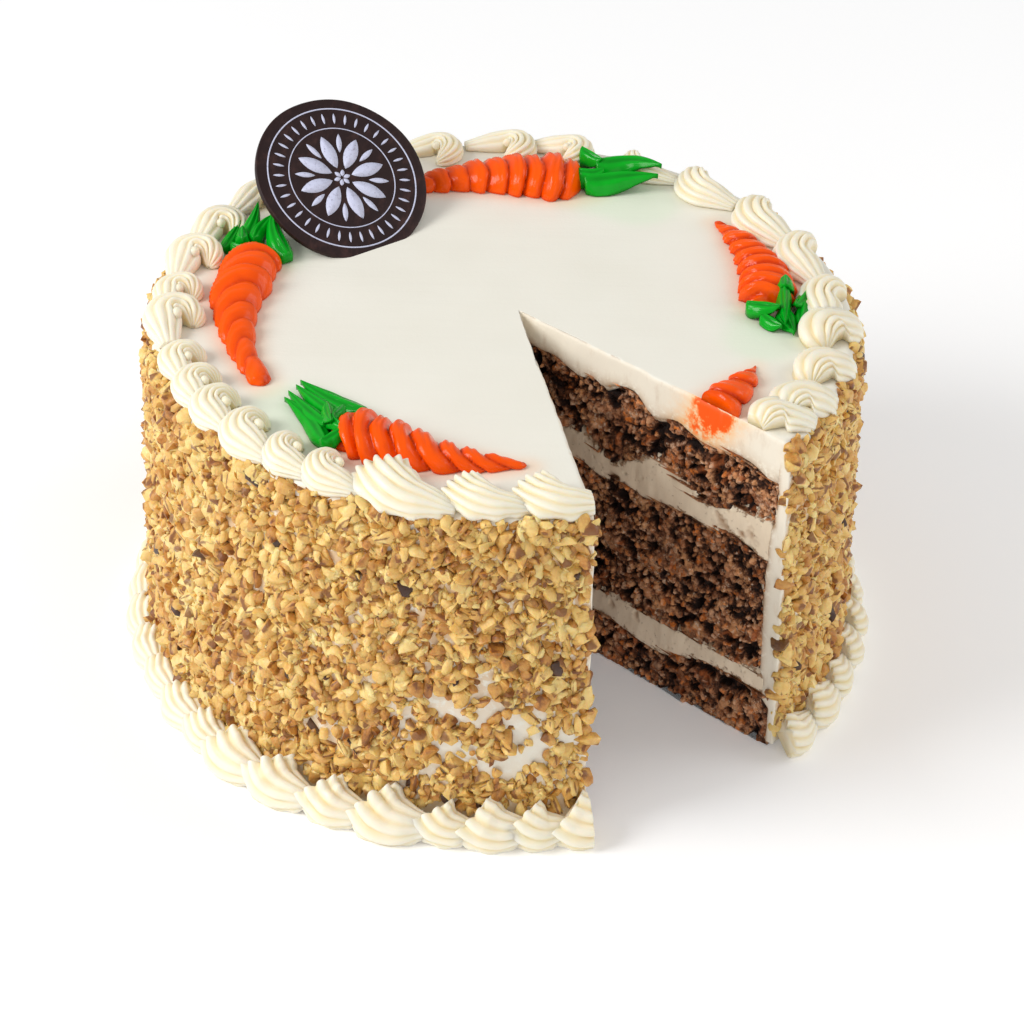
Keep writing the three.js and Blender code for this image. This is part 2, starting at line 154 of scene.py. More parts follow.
class Graph:
    """Adds nodes to one shader or geometry tree."""

    def __init__(self, tree: bpy.types.NodeTree) -> None:
        """Starts on an empty tree."""
        self.tree = tree

    def node(
        self,
        kind: str,
        settings: Mapping[str, Any] | None = None,
        inputs: Mapping[str | int, Any] | None = None,
    ) -> Node:
        """Adds a node.

        Args:
            kind: The node's type.
            settings: Its own properties, set first. "stops" fills a colour ramp.
            inputs: Values or links of its sockets, by name or index.

        Returns:
            The new node.
        """
        node = self.tree.nodes.new(kind)
        for name, setting in (settings or {}).items():
            if name == "stops":
                self._fill_ramp(node, setting)
            else:
                setattr(node, name, setting)
        for key, value in (inputs or {}).items():
            self.feed(node.inputs[key], value)
        return node

    @staticmethod
    def _fill_ramp(node: Node, stops: Sequence[tuple[float, Colour]]) -> None:
        """Gives a colour ramp its stops.

        Args:
            node: The ramp's node.
            stops: Places and colours.
        """
        elements = node.color_ramp.elements
        while len(elements) < len(stops):
            elements.new(0.5)
        for element, (place, colour) in zip(elements, stops, strict=True):
            element.position = place
            element.color = (*colour, 1.0)

    def feed(self, socket: Socket, value: Any) -> None:
        """Links or sets an input socket.

        Args:
            socket: The input.
            value: A Value, an output socket or a constant.
        """
        if isinstance(value, Value):
            self.tree.links.new(value.socket, socket)
        elif isinstance(value, bpy.types.NodeSocket):
            self.tree.links.new(value, socket)
        elif socket.type == "RGBA" and len(value) == 3:
            socket.default_value = (*value, 1.0)
        else:
            socket.default_value = value

    def math(self, operation: str, *inputs: Any, clamp: bool = False) -> Value:
        """Adds a Math node."""
        settings = {"operation": operation, "use_clamp": clamp}
        return Value(self, self.node("ShaderNodeMath", settings, dict(enumerate(inputs))).outputs[0])

    def mix(self, amount: Any, first: Any, second: Any) -> Socket:
        """Blends two colours."""
        settings = {"data_type": "RGBA", "clamp_factor": True}
        return self.node("ShaderNodeMix", settings, {0: amount, 6: first, 7: second}).outputs[2]

    def attribute(self, name: str) -> Value:
        """Reads a number kept on the piece's points."""
        node = self.node("ShaderNodeAttribute", {"attribute_name": name})
        return Value(self, node.outputs["Fac"])

    def piped_place(self, stretch: Point) -> Socket:
        """Gives places along and across the piping, kept on the piece's points."""
        run = self.node("ShaderNodeAttribute", {"attribute_name": "run"}).outputs["Vector"]
        return self.node("ShaderNodeMapping", None, {"Vector": run, "Scale": stretch}).outputs[0]

    def place(self, stretch: Point = (1, 1, 1)) -> Socket:
        """Gives the piece's own coordinates in millimetres.

        Args:
            stretch: Factor of each axis.

        Returns:
            The coordinates.
        """
        source = self.node("ShaderNodeTexCoord").outputs["Object"]
        scale = tuple(factor / MM for factor in stretch)
        return self.node("ShaderNodeMapping", None, {"Vector": source, "Scale": scale}).outputs[0]

    def noise(self, place: Any, size: float, detail: float = 3.0, rough: float = 0.55) -> Value:
        """Adds a noise texture."""
        inputs = {"Vector": place, "Scale": 1 / size, "Detail": detail, "Roughness": rough}
        return Value(self, self.node("ShaderNodeTexNoise", None, inputs).outputs[0])

    def bump(self, height: Any, depth: float, below: Any = None) -> Socket:
        """Turns a height into a surface direction.

        Args:
            height: The height as a number from zero to one.
            depth: What one stands for, in millimetres.
            below: Direction from an earlier bump, if any.

        Returns:
            The surface direction.
        """
        inputs = {"Height": height, "Distance": depth * MM, "Strength": 1.0}
        if below is not None:
            inputs["Normal"] = below
        return self.node("ShaderNodeBump", None, inputs).outputs[0]

    def ramp(self, stops: Sequence[tuple[float, Colour]], place: Any) -> Socket:
        """Reads a colour off a ramp."""
        return self.node("ShaderNodeValToRGB", {"stops": stops}, {"Fac": place}).outputs[0]

    def paint(self, inputs: Mapping[str, Any]) -> None:
        """Feeds the material's shader.

        Args:
            inputs: Values or links of its sockets, by name.
        """
        shader = self.tree.nodes["Principled BSDF"]
        for name, value in inputs.items():
            self.feed(shader.inputs[name], value)


# --- finishes
@dataclass(frozen=True)
class Finish:
    """A material. Subclasses say what varies over the surface."""

    name: str
    colour: Colour
    roughness: float = 0.5
    specular: float = 0.5
    scatter: float = 0.0
    scatter_radius: Colour = (0.004, 0.002, 0.001)
    coat: float = 0.0
    coat_roughness: float = 0.12

    def material(self) -> Material:
        """Builds the material.

        Returns:
            The finished material.
        """
        made = bpy.data.materials.new(self.name)
        made.use_nodes = True
        made.diffuse_color = (*self.colour, 1.0)
        graph = Graph(made.node_tree)
        graph.paint({
            "Base Color": self.colour,
            "Roughness": self.roughness,
            "Specular IOR Level": self.specular,
        })
        if self.scatter:
            graph.paint({"Subsurface Weight": self.scatter, "Subsurface Radius": self.scatter_radius})
            graph.paint({"Subsurface Scale": 1.0})
        if self.coat:
            graph.paint({"Coat Weight": self.coat, "Coat Roughness": self.coat_roughness})
        self.dress(graph)
        return made

    def dress(self, graph: Graph) -> None:
        """Adds what varies over the surface."""
        raise NotImplementedError


@dataclass(frozen=True)
class PipedCreamFinish(Finish):
    """Cream piped through a star tip: pale on its ridges, with warm shade painted into its grooves."""

    # Painted warm shade for the grooves.
    groove_shade_colour: Colour = (0.88, 0.66, 0.22)
    drag_depth: float = 0.22

    def dress(self, graph: Graph) -> None:
        """Paints warm shade into the grooves and adds fine drag lines along the piping.

        Args:
            graph: The material's graph.
        """
        blots = graph.noise(graph.place(), 9.0)
        groove = graph.attribute("groove")
        # Painted warm shade in the grooves, patchy by the blots.
        warm_shade = (groove * (0.30 + 0.95 * blots)).clamp()
        drag = graph.noise(graph.piped_place((0.12, 1.0, 1.0)), 0.9, 2.0)
        grain = graph.noise(graph.place(), 0.7, 2.0)
        graph.paint({
            "Base Color": graph.mix(warm_shade, self.colour, self.groove_shade_colour),
            "Normal": graph.bump(drag * 0.7 + grain * 0.3, self.drag_depth),
            "Roughness": self.roughness + 0.14 * (grain - 0.5),
        })


@dataclass(frozen=True)
class SpreadIcingFinish(Finish):
    """Cream spread with a palette knife, tinted where coloured piping lies on it."""

    shade: Colour = (0.74, 0.70, 0.58)
    carrot_tint: Colour = (0.93, 0.60, 0.38)
    leaf_tint: Colour = (0.66, 0.86, 0.60)
    crumb_colour: Colour = (0.45, 0.27, 0.13)
    # Nut dust and painted shade between the walnut bits on the side.
    dust_and_gap_shade_colour: Colour = (0.70, 0.45, 0.20)
    smear_colour: Colour = (1.0, 0.46, 0.08)
    carrot_colour: Colour = (1.0, 0.10, 0.0)
    cut_colour: Colour = (0.87, 0.79, 0.65)

    def dress(self, graph: Graph) -> None:
        """Adds knife strokes, tints, nut dust with painted shade between the walnut bits on the side and,
        on the cuts, smears and crumbs.

        Args:
            graph: The material's graph.
        """
        strokes = graph.noise(graph.place((0.035, 0.5, 0.5)), 2.2, 3.0)
        broad = graph.noise(graph.place(), 34.0, 2.0)
        fine = graph.noise(graph.place(), 1.1, 2.0)
        cut = graph.attribute("cut")
        drag = graph.noise(graph.place((1.0, 1.0, 0.22)), 1.3, 3.0)
        base = graph.mix((broad - 0.3) * 0.55, self.colour, self.shade)
        base = graph.mix(cut * 0.8, base, self.cut_colour)
        dust = graph.noise(graph.place(), 2.4, 4.0, 0.7)
        # On the side: nut dust and painted shade between the walnut bits; on the cuts: crumbs.
        crumb_stain_and_gap_shade = graph.mix(cut, self.dust_and_gap_shade_colour, self.crumb_colour)
        base = graph.mix(graph.attribute("crumbed") * dust.between(0.34, 0.52), base, crumb_stain_and_gap_shade)
        base = graph.mix(graph.attribute("near_carrot") * (0.1 + 0.6 * broad), base, self.carrot_tint)
        smeared = graph.attribute("smeared") * (0.7 + 1.2 * dust.between(0.3, 0.66))
        base = graph.mix(smeared.clamp(), base, self.smear_colour)
        base = graph.mix(((smeared - 0.5) * 1.9).clamp(), base, self.carrot_colour)
        base = graph.mix(graph.attribute("near_leaf") * 0.32, base, self.leaf_tint)
        smear = (cut * graph.noise(graph.place((1.0, 1.0, 0.4)), 3.4, 4.0).between(0.52, 0.74)).clamp()
        knife = graph.bump(strokes * (1 - cut) + drag * cut, 0.14)
        graph.paint({
            "Base Color": graph.mix(smear * 0.24, base, self.crumb_colour),
            "Normal": graph.bump(fine, 0.05, knife),
            "Roughness": self.roughness + 0.16 * (strokes - 0.5) + 0.15 * cut,
        })


@dataclass(frozen=True)
class CutCreamFinish(Finish):
    """A cream filling cut with a knife: soft smears, small pits darkened with painted shade, and a few
    crumbs.
    """

    # Colour of the soft smears, and painted shade in the pits.
    smear_and_pit_shade_colour: Colour = (0.62, 0.50, 0.36)
    crumb_colour: Colour = (0.30, 0.14, 0.05)

    def dress(self, graph: Graph) -> None:
        """Adds smears, pits with painted shade, and crumbs.

        Args:
            graph: The material's graph.
        """
        place = graph.place()
        smear = graph.noise(graph.place((1.0, 1.0, 0.35)), 3.2, 4.0)
        pits = graph.noise(place, 1.5, 2.0).between(0.66, 0.74)
        crumbs = graph.noise(graph.place((0.8, 0.8, 1.0)), 1.9, 4.0, 0.7)
        stained = (crumbs + 0.16 * graph.attribute("edge")).between(0.64, 0.72)
        base = graph.mix((smear - 0.35) * 0.8, self.colour, self.smear_and_pit_shade_colour)
        # Painted shade in the pits.
        base = graph.mix(pits * 0.4, base, self.smear_and_pit_shade_colour)
        base = graph.mix(stained * 0.75, base, self.crumb_colour)
        graph.paint({
            "Base Color": graph.mix(graph.attribute("torn") * 0.85, base, self.crumb_colour),
            "Normal": graph.bump(smear * 0.6 - pits * 0.5 + stained * 0.7, 0.3),
            "Roughness": self.roughness + 0.2 * (smear - 0.5),
        })


@dataclass(frozen=True)
class CrumbFinish(Finish):
    """Moist brown sponge: grains of several browns, painted near-black shade in the gaps between them, a
    painted highlight on the grains that stand out, and shreds of carrot.
    """

    # Painted shade for the gaps and holes, darkest first.
    gap_shade_colour: Colour = (0.012, 0.004, 0.002)
    deep_shade_colour: Colour = (0.10, 0.032, 0.012)
    kinds: tuple[Colour, ...] = (
        (0.24, 0.082, 0.028),
        (0.60, 0.29, 0.15),
        (0.78, 0.21, 0.030),
        (0.16, 0.050, 0.018),
        (0.76, 0.46, 0.29),
        (0.44, 0.155, 0.055),
        (0.26, 0.110, 0.055),
    )
    # Painted highlight on the grains that stand out most.
    top_highlight_colour: Colour = (0.95, 0.52, 0.28)
    pale_colour: Colour = (0.80, 0.39, 0.17)
    fleck_colour: Colour = (0.85, 0.70, 0.54)
    shred_colour: Colour = (0.55, 0.15, 0.04)
    fruit_colour: Colour = (0.012, 0.006, 0.008)

    def dress(self, graph: Graph) -> None:
        """Colours grains by what they are, with painted shade in the gaps and a painted highlight on the
        grains that stand out most.

        Args:
            graph: The material's graph.
        """
        place = graph.place()
        speckle = graph.noise(place, 0.6, 4.0, 0.75)
        blots = graph.noise(place, 4.0, 3.0)
        broad = graph.noise(place, 13.0, 2.0)
        # How far a point stands out, which sets its painted shade and highlight.
        stand = graph.attribute("relief") + 0.85 * (speckle - 0.5)
        stand = stand + 0.8 * (blots - 0.5) + 0.8 * (broad - 0.5)
        kind = graph.math("FRACT", graph.attribute("grain") * 7.3 + 0.35 * blots)
        stops = [(k / (len(self.kinds) - 1), colour) for k, colour in enumerate(self.kinds)]
        own = graph.ramp(stops, kind)
        lumps = graph.noise(place, 5.5, 3.0, 0.6)
        own = graph.mix(lumps.between(0.47, 0.62) * 0.7, own, self.pale_colour)
        own = graph.mix(stand.between(0.62, 1.0) * 0.8, own, self.top_highlight_colour)
        base = graph.mix(stand.between(0.12, 0.42), self.gap_shade_colour, self.deep_shade_colour)
        base = graph.mix(stand.between(0.30, 0.66), base, own)
        flecks = graph.noise(place, 1.3, 4.0, 0.7).between(0.56, 0.66) * lumps.between(0.36, 0.52)
        base = graph.mix(flecks * stand.between(0.3, 0.5) * 0.7, base, self.fleck_colour)
        shreds = (graph.attribute("shred") * (0.3 + 0.7 * speckle)).clamp()
        base = graph.mix(shreds, base, self.shred_colour)
        graph.paint({
            "Base Color": graph.mix(graph.attribute("fruit") * 0.9, base, self.fruit_colour),
            "Normal": graph.bump(speckle, 0.55),
            "Roughness": 0.28 + 0.4 * speckle,
        })


@dataclass(frozen=True)
class WalnutFinish(Finish):
    """Chopped walnut: golden flesh, pale broken faces and here and there brown skin."""

    pale: Colour = (0.94, 0.73, 0.32)
    toasted: Colour = (0.50, 0.215, 0.040)
    skin: Colour = (0.18, 0.055, 0.012)
    burnt: Colour = (0.060, 0.024, 0.012)

    def dress(self, graph: Graph) -> None:
        """Colours each bit by its own tone, browns its skinned corners and mottles it.

        Args:
            graph: The material's graph.
        """
        tone = graph.attribute("tone")
        mottle = graph.noise(graph.place(), 2.4, 4.0, 0.65)
        fine = graph.noise(graph.place(), 0.7, 3.0)
        broad = graph.noise(graph.place(), 16.0, 2.0)
        level = (tone * 0.62 + (mottle - 0.5) * 0.8 + (broad - 0.5) * 0.7 + 0.19).clamp()
        stops = ((0.0, self.pale), (0.42, self.colour), (0.80, self.toasted), (1.0, self.skin))
        skinned = graph.attribute("skin") * 0.9 + 0.8 * (mottle - 0.5) + 0.35 * (tone - 0.5)
        base = graph.mix(skinned.between(0.42, 0.8) * 0.85, graph.ramp(stops, level), self.skin)
        graph.paint({
            "Base Color": graph.mix(tone.between(0.992, 0.995), base, self.burnt),
            "Normal": graph.bump(mottle * 0.5 + fine * 0.5, 0.45),
            "Roughness": self.roughness + 0.25 * (fine - 0.5),
        })


@dataclass(frozen=True)
class ColouredIcingFinish(Finish):
    """Glossy coloured icing with fine lines along the way that it was piped and painted shade in its
    grooves.
    """

    # deep: painted shade for the grooves.
    deep: Colour = (0.48, 0.014, 0.0)
    line_size: float = 0.7
    line_depth: float = 0.16

    def dress(self, graph: Graph) -> None:
        """Paints shade into the grooves, patchy with random blots, and adds drag lines.

        Args:
            graph: The material's graph.
        """
        groove = graph.attribute("groove")
        blots = graph.noise(graph.place(), 5.0, 3.0)
        lines = graph.noise(graph.piped_place((1.0, 0.14, 1.0)), self.line_size, 2.0)
        graph.paint({
            # Base colour: deep painted shade in the grooves, mixed with random blots.
            "Base Color": graph.mix((groove * 0.85 + (blots - 0.5) * 0.5).clamp(), self.colour, self.deep),
            "Normal": graph.bump(lines, self.line_depth),
            "Roughness": self.roughness + 0.22 * (lines - 0.5),
        })


@dataclass(frozen=True)
class ChocolateFinish(Finish):
    """Thin dark chocolate, satin, with faint rubs."""

    rub: Colour = (0.055, 0.022, 0.018)

    def dress(self, graph: Graph) -> None:
        """Adds rubs and a faint unevenness.

        Args:
            graph: The material's graph.
        """
        rubs = graph.noise(graph.place((1.0, 0.3, 1.0)), 3.0, 5.0, 0.65)
        graph.paint({
            "Base Color": graph.mix(rubs.between(0.45, 0.8), self.colour, self.rub),
            "Normal": graph.bump(graph.noise(graph.place(), 5.0, 3.0), 0.12),
            "Roughness": self.roughness + 0.3 * (rubs - 0.5),
        })


@dataclass(frozen=True)
class PrintFinish(Finish):
    """Pale cocoa-butter print, a little worn."""

    worn: Colour = (0.30, 0.28, 0.38)

    def dress(self, graph: Graph) -> None:
        """Wears the print in spots.

        Args:
            graph: The material's graph.
        """
        wear = graph.noise(graph.place(), 0.9, 4.0, 0.7)
        graph.paint({
            "Base Color": graph.mix(wear.between(0.5, 0.8), self.colour, self.worn),
            "Normal": graph.bump(wear, 0.05),
            "Roughness": self.roughness + 0.2 * (wear - 0.5),
        })


@dataclass(frozen=True)
class FloorFinish(Finish):
    """A plain pale studio floor."""

    glow: float = 0.14

    def dress(self, graph: Graph) -> None:
        """Adds the faintest grain.

        Args:
            graph: The material's graph.
        """
        grain = graph.noise(graph.place(), 3.0, 2.0)
        graph.paint({
            "Roughness": self.roughness + 0.05 * (grain - 0.5),
            "Emission Color": WHITE,
            "Emission Strength": self.glow,
        })


# --- shared geometry
class Unevenness:
    """Smooth repeatable noise through space, from a lattice of random numbers."""

    SIDE = 32

    def __init__(self, seed: int) -> None:
        """Fills the lattice.

        Args:
            seed: Seed of the random numbers.
        """
        draw = np.random.default_rng(seed)
        self.lattice = draw.random((self.SIDE,) * 3)
        self.jitter = draw.random((self.SIDE,) * 3 + (3,))

    def smooth(self, points: Array, size: float) -> Array:
        """Gives noise from -1 to 1.

        Args:
            points: Places, the last axis being x, y and z.
            size: Size of its blots, in millimetres.

        Returns:
            One number for each place.
        """
        scaled = points / size
        cell = np.floor(scaled).astype(int)
        part = scaled - cell
        part = part * part * (3 - 2 * part)
        total = np.zeros(points.shape[:-1])
        for corner in itertools.product((0, 1), repeat=3):
            weight = np.prod(np.where(corner, part, 1 - part), axis=-1)
            total += weight * self.lattice[tuple(np.moveaxis((cell + corner) % self.SIDE, -1, 0))]
        return 2 * total - 1

    def layered(self, points: Array, size: float, steps: int = 3) -> Array:
        """Adds finer and finer noise."""
        return sum(self.smooth(points + 7.3 * k, size / 2**k) / 2**k for k in range(steps)) / 1.5

    def cells(self, points: Array, size: float) -> tuple[Array, Array]:
        """Splits space into grains.

        Args:
            points: Places.
            size: Size of a grain, in millimetres.

        Returns:
            The distance to the nearest grain's middle as a share of the size, and that grain's number.
        """
        scaled = points / size
        cell = np.floor(scaled).astype(int)
        nearest = np.full(points.shape[:-1], 9.0)
        number = np.zeros(points.shape[:-1])
        for step in itertools.product((-1, 0, 1), repeat=3):
            at = tuple(np.moveaxis((cell + step) % self.SIDE, -1, 0))
            away = np.linalg.norm(cell + step + self.jitter[at] - scaled, axis=-1)
            closer = away < nearest
            nearest = np.where(closer, away, nearest)
            number = np.where(closer, self.lattice[at], number)
        return nearest, number


def side_radius(level: Array) -> Array:
    """Radius of the coat's side at heights from the floor."""
    return COAT_RADIUS + COAT_FLARE * (1 - level / CAKE_HEIGHT)


def unit(values: Array) -> Array:
    """Values held between zero and one."""
    return np.clip(values, 0, 1)


def around(azimuth: Array | float, radius: Array | float) -> Array:
    """Gives points round the axis."""
    angle = np.radians(azimuth)
    return np.stack([radius * np.sin(angle), -radius * np.cos(angle)], axis=-1)


def eased(pairs: Sequence[tuple[float, float]], place: Array) -> Array:
    """Reads values off a list of places and values, rounded between them.

    Args:
        pairs: Places and values, in order.
        place: Where to read.

    Returns:
        The values.
    """
    places, values = np.array(pairs, float).T
    at = np.clip(np.searchsorted(places, place) - 1, 0, len(places) - 2)
    part = unit((place - places[at]) / (places[at + 1] - places[at]))
    slopes = np.gradient(values, places)
    width = places[at + 1] - places[at]
    a, b = values[at], values[at + 1]
    ma, mb = slopes[at] * width, slopes[at + 1] * width
    square, cube = part**2, part**3
    return (
        a * (2 * cube - 3 * square + 1)
        + ma * (cube - 2 * square + part)
        + b * (3 * square - 2 * cube)
        + mb * (cube - square)
    )


@dataclass
class Draft:
    """A mesh in the making: points, faces and values kept on the points."""

    points: list[Array] = field(default_factory=list)
    faces: list[list[int]] = field(default_factory=list)
    values: dict[str, list[Array]] = field(default_factory=dict)
    count: int = 0

    def add_points(self, points: Array, **values: Array | float) -> int:
        """Adds points.

        Args:
            points: Places, the last axis being x, y and z.
            values: Values of the points, for each value's name.

        Returns:
            The number of the first.
        """
        flat = points.reshape(-1, 3)
        first = self.count
        self.points.append(flat)
        for name, value in values.items():
            data = np.asarray(value, float)
            if data.ndim == points.ndim:
                wide = np.broadcast_to(data, points.shape).reshape(-1, 3)
            else:
                wide = np.broadcast_to(data, points.shape[:-1]).reshape(-1)
            self.values.setdefault(name, []).append(wide)
        self.count += len(flat)
        return first

    def add_grid(self, grid: Array, wrap: bool = False, **values: Array | float) -> Array:
        """Adds a grid of points with a face between each four neighbours.

        Args:
            grid: Places by row and column.
            wrap: Whether the last column joins the first.
            values: Values of the points.

        Returns:
            The numbers of the points, by row and column.
        """
        rows, columns = grid.shape[:2]
        first = self.add_points(grid, **values)
        numbers = first + np.arange(rows * columns).reshape(rows, columns)
        wide = np.concatenate([numbers, numbers[:, :1]], axis=1) if wrap else numbers
        quads = np.stack([wide[:-1, :-1], wide[1:, :-1], wide[1:, 1:], wide[:-1, 1:]], axis=-1)
        self.faces.extend(quads.reshape(-1, 4).tolist())
        return numbers

    def add_fan(self, rim: Array, middle: Array, **values: Array | float) -> None:
        """Closes a rim with triangles to one point.

        Args:
            rim: Numbers of the rim's points, all the way round.
            middle: The point's place.
            values: Values of the point.
        """
        centre = self.add_points(np.asarray(middle, float).reshape(1, 3), **values)
        ring = np.append(rim, rim[0])
        self.faces.extend([[centre, int(a), int(b)] for a, b in itertools.pairwise(ring)])

    def object(self, name: str, material: Material, own_frame: bool = False) -> Object:
        """Makes the mesh object.

        Args:
            name: The piece's name.
            material: Its material.
            own_frame: Whether the points aren't round the cake's axis.

        Returns:
            The object, linked to the scene, with doubles merged and faces outwards.
        """
        start = np.zeros(3) if own_frame else np.array([*cake_axis(), 0.0])
        points = (np.concatenate(self.points) + start) * MM
        mesh = bpy.data.meshes.new(name)
        mesh.from_pydata(points.tolist(), [], self.faces)
        for label, parts in self.values.items():
            data = np.concatenate(parts)
            kind, key = ("FLOAT_VECTOR", "vector") if data.ndim > 1 else ("FLOAT", "value")
            kept = mesh.attributes.new(label, kind, "POINT").data
            kept.foreach_set(key, data.astype(np.float32).ravel())
        tidy_mesh(mesh)
        mesh.materials.append(material)
        piece = bpy.data.objects.new(name, mesh)
        bpy.context.scene.collection.objects.link(piece)
        return piece

    def loose_mesh(self, name: str, material: Material, own_frame: bool = False) -> Mesh:
        """Makes a mesh that only a geometry-node tree uses.

        Args:
            name: Its name.
            material: Its material.
            own_frame: Whether the points aren't round the cake's axis.

        Returns:
            The mesh, on no object.
        """
        holder = self.object(name, material, own_frame)
        mesh = holder.data
        bpy.data.objects.remove(holder)
        return mesh


def tidy_mesh(mesh: Mesh) -> None:
    """Merges doubles, drops faces without area, turns faces outwards and shades them smooth.

    Args:
        mesh: The mesh to tidy.
    """
    work = bmesh.new()
    work.from_mesh(mesh)
    bmesh.ops.remove_doubles(work, verts=work.verts, dist=0.004 * MM)
    bmesh.ops.dissolve_degenerate(work, edges=work.edges, dist=0.001 * MM)
    bmesh.ops.recalc_face_normals(work, faces=work.faces)
    work.to_mesh(mesh)
    work.free()
    mesh.shade_smooth()


def joined(drafts: Sequence[Draft]) -> Draft:
    """Puts several drafts into one.

    Args:
        drafts: The drafts.

    Returns:
        One draft with all their faces.
    """
    made = Draft()
    for draft in drafts:
        first = made.count
        made.points.extend(draft.points)
        made.count += draft.count
        made.faces.extend([[first + i for i in face] for face in draft.faces])
        for name, parts in draft.values.items():
            made.values.setdefault(name, []).extend(parts)
    return made


def settle(piece: Object, slot: str, *nodes: str) -> None:
    """Rides a piece on the cake, hides the nodes it stands for, and reports it with its slot.

    Args:
        piece: The finished piece.
        slot: The record's material slot.
        nodes: CAD nodes that it replaces.
    """
    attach(piece, BODY)
    if nodes:
        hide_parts(*nodes)
    faces = len(piece.data.polygons)
    LOG.info("%s: %d faces, slot %s, for %s", piece.name, faces, slot, nodes or "itself")


@dataclass(frozen=True)
class SliceGap:
    """The missing slice: where its two cuts meet and the azimuth of each."""

    apex: tuple[float, float] = (4.1, 4.6)
    start: float = 12.2
    end: float = 48.8

    def reach(self, azimuth: Array, radius: Array | float) -> Array:
        """How far it is from the apex to a circle round the axis.

        Args:
            azimuth: Directions from the apex, in degrees.
            radius: The circle's radius.

        Returns:
            The distances.
        """
        way = around(azimuth, 1.0)
        apex = np.array(self.apex)
        ahead = way @ apex
        return -ahead + np.sqrt(ahead**2 - apex @ apex + np.asarray(radius) ** 2)

    def away(self, points: Array) -> Array:
        """Distances of points from the apex, seen from above."""
        return np.linalg.norm(points[..., :2] - np.array(self.apex), axis=-1)

    def point(self, azimuth: Array, distance: Array) -> Array:
        """Points at distances from the apex."""
        return np.array(self.apex) + around(azimuth, np.asarray(distance))

    def turns(self, step: float) -> Array:
        """Directions of the cake that is left, from the second cut round to the first."""
        span = 360 + self.start - self.end
        return np.linspace(self.end, self.end + span, math.ceil(span / step) + 1)

    def normals(self) -> tuple[Array, Array]:
        """Directions out of the cuts, into the gap.

        Returns:
            The first cut's and the second's, as x and y.
        """
        first, second = math.radians(self.start), math.radians(self.end)
        out = np.array([math.cos(first), math.sin(first)])
        return out, np.array([-math.cos(second), -math.sin(second)])

    def depth(self, points: Array) -> Array:
        """How far points lie inside the gap, less than zero where they don't.

        Args:
            points: Places with x and y first.

        Returns:
            The distance to the nearer cut.
        """
        flat = points[..., :2] - np.array(self.apex)
        first, second = self.normals()
        return np.minimum(flat @ first, flat @ second)

    def trim(self, draft: Draft) -> Draft | None:
        """Cuts one closed shape along the gap.

        Args:
            draft: The shape.

        Returns:
            The shape itself where it is clear, what is left of it, or None where nothing is.
        """
        points = np.concatenate(draft.points)
        if np.all(self.depth(points) <= 0):
            return draft
        work = bmesh.new()
        layers = {}
        values = {name: np.concatenate(parts) for name, parts in draft.values.items()}
        for name, data in values.items():
            kind = work.verts.layers.float_vector if data.ndim > 1 else work.verts.layers.float
            layers[name] = kind.new(name)
        corners = [work.verts.new(p) for p in points]
        for i, corner in enumerate(corners):
            for name, layer in layers.items():
                value = values[name][i]
                corner[layer] = Vector(value) if np.ndim(value) else float(value)
        for face in draft.faces:
            work.faces.new([corners[i] for i in face])
        middle = points.mean(axis=0)[:2] - np.array(self.apex)
        azimuth = math.degrees(math.atan2(middle[0], -middle[1]))
        normal = self.normals()[0 if azimuth < (self.start + self.end) / 2 else 1]
        bmesh.ops.bisect_plane(
            work,
            geom=[*work.verts, *work.edges, *work.faces],
            plane_co=(*self.apex, 0.0),
            plane_no=(*normal, 0.0),
            clear_outer=True,
        )
        bmesh.ops.holes_fill(work, edges=[e for e in work.edges if e.is_boundary])
        if not work.faces:
            work.free()
            return None
        work.verts.index_update()
        made = Draft()
        made.add_points(np.array([v.co for v in work.verts]))
        for name, layer in layers.items():
            wide = values[name].ndim > 1
            data = [tuple(v[layer]) if wide else v[layer] for v in work.verts]
            made.values[name] = [np.array(data)]
        made.faces = [[v.index for v in face.verts] for face in work.faces]
        work.free()
        return made

    def outline(self, radius: float, step: float, arc_step: float) -> tuple[Array, Array, Array]:
        """Walks round the cake that is left, along both cuts and the side.

        Args:
            radius: Radius of the side.
            step: Distance between points on the cuts.
            arc_step: Angle between points on the side, in degrees.

        Returns:
            The points, the direction into the gap at each, and one on the cuts and zero on the side.
        """
        first, second = self.normals()
        long = self.reach(np.array(self.end), radius)
        out = np.linspace(0, long, math.ceil(long / step) + 1)
        back = np.linspace(self.reach(np.array(self.start), radius), 0, math.ceil(long / step) + 1)
        turns = self.turns(arc_step)[1:-1]
        side = self.point(turns, self.reach(turns, radius))
        points = np.concatenate([self.point(self.end, out), side, self.point(self.start, back[:-1])])
        counts = (len(out), len(turns), len(back) - 1)
        ways = np.repeat([second, np.zeros(2), first], counts, axis=0)
        ways[0] = (first + second) / 2
        on_cut = np.repeat([1.0, 0.0, 1.0], counts)
        return points, ways, on_cut


GAP_IN_CAKE = SliceGap()


@dataclass(frozen=True)
class LayerLine:
    """The uneven level where two layers of the cake meet."""

    level: float
    course: Course = ((0, 0), (1, 0))
    ragged: float = 0.45
    bite: float = 0.45

    def height(self, points: Array) -> Array:
        """How high the line is.

        Args:
            points: Places as x and y.

        Returns:
            Heights from the floor.
        """
        if not self.level:
            return np.zeros(points.shape[:-1])
        away = GAP_IN_CAKE.away(points)
        deep = np.concatenate([points, np.full((*points.shape[:-1], 1), self.level)], axis=-1)
        noise = Unevenness(int(self.level))
        broad = noise.layered(deep, 6.0, 2)
        bites = np.abs(noise.layered(deep + 40, 3.4, 3)) - 0.25
        return self.level + eased(self.course, away) + self.ragged * broad + self.bite * bites


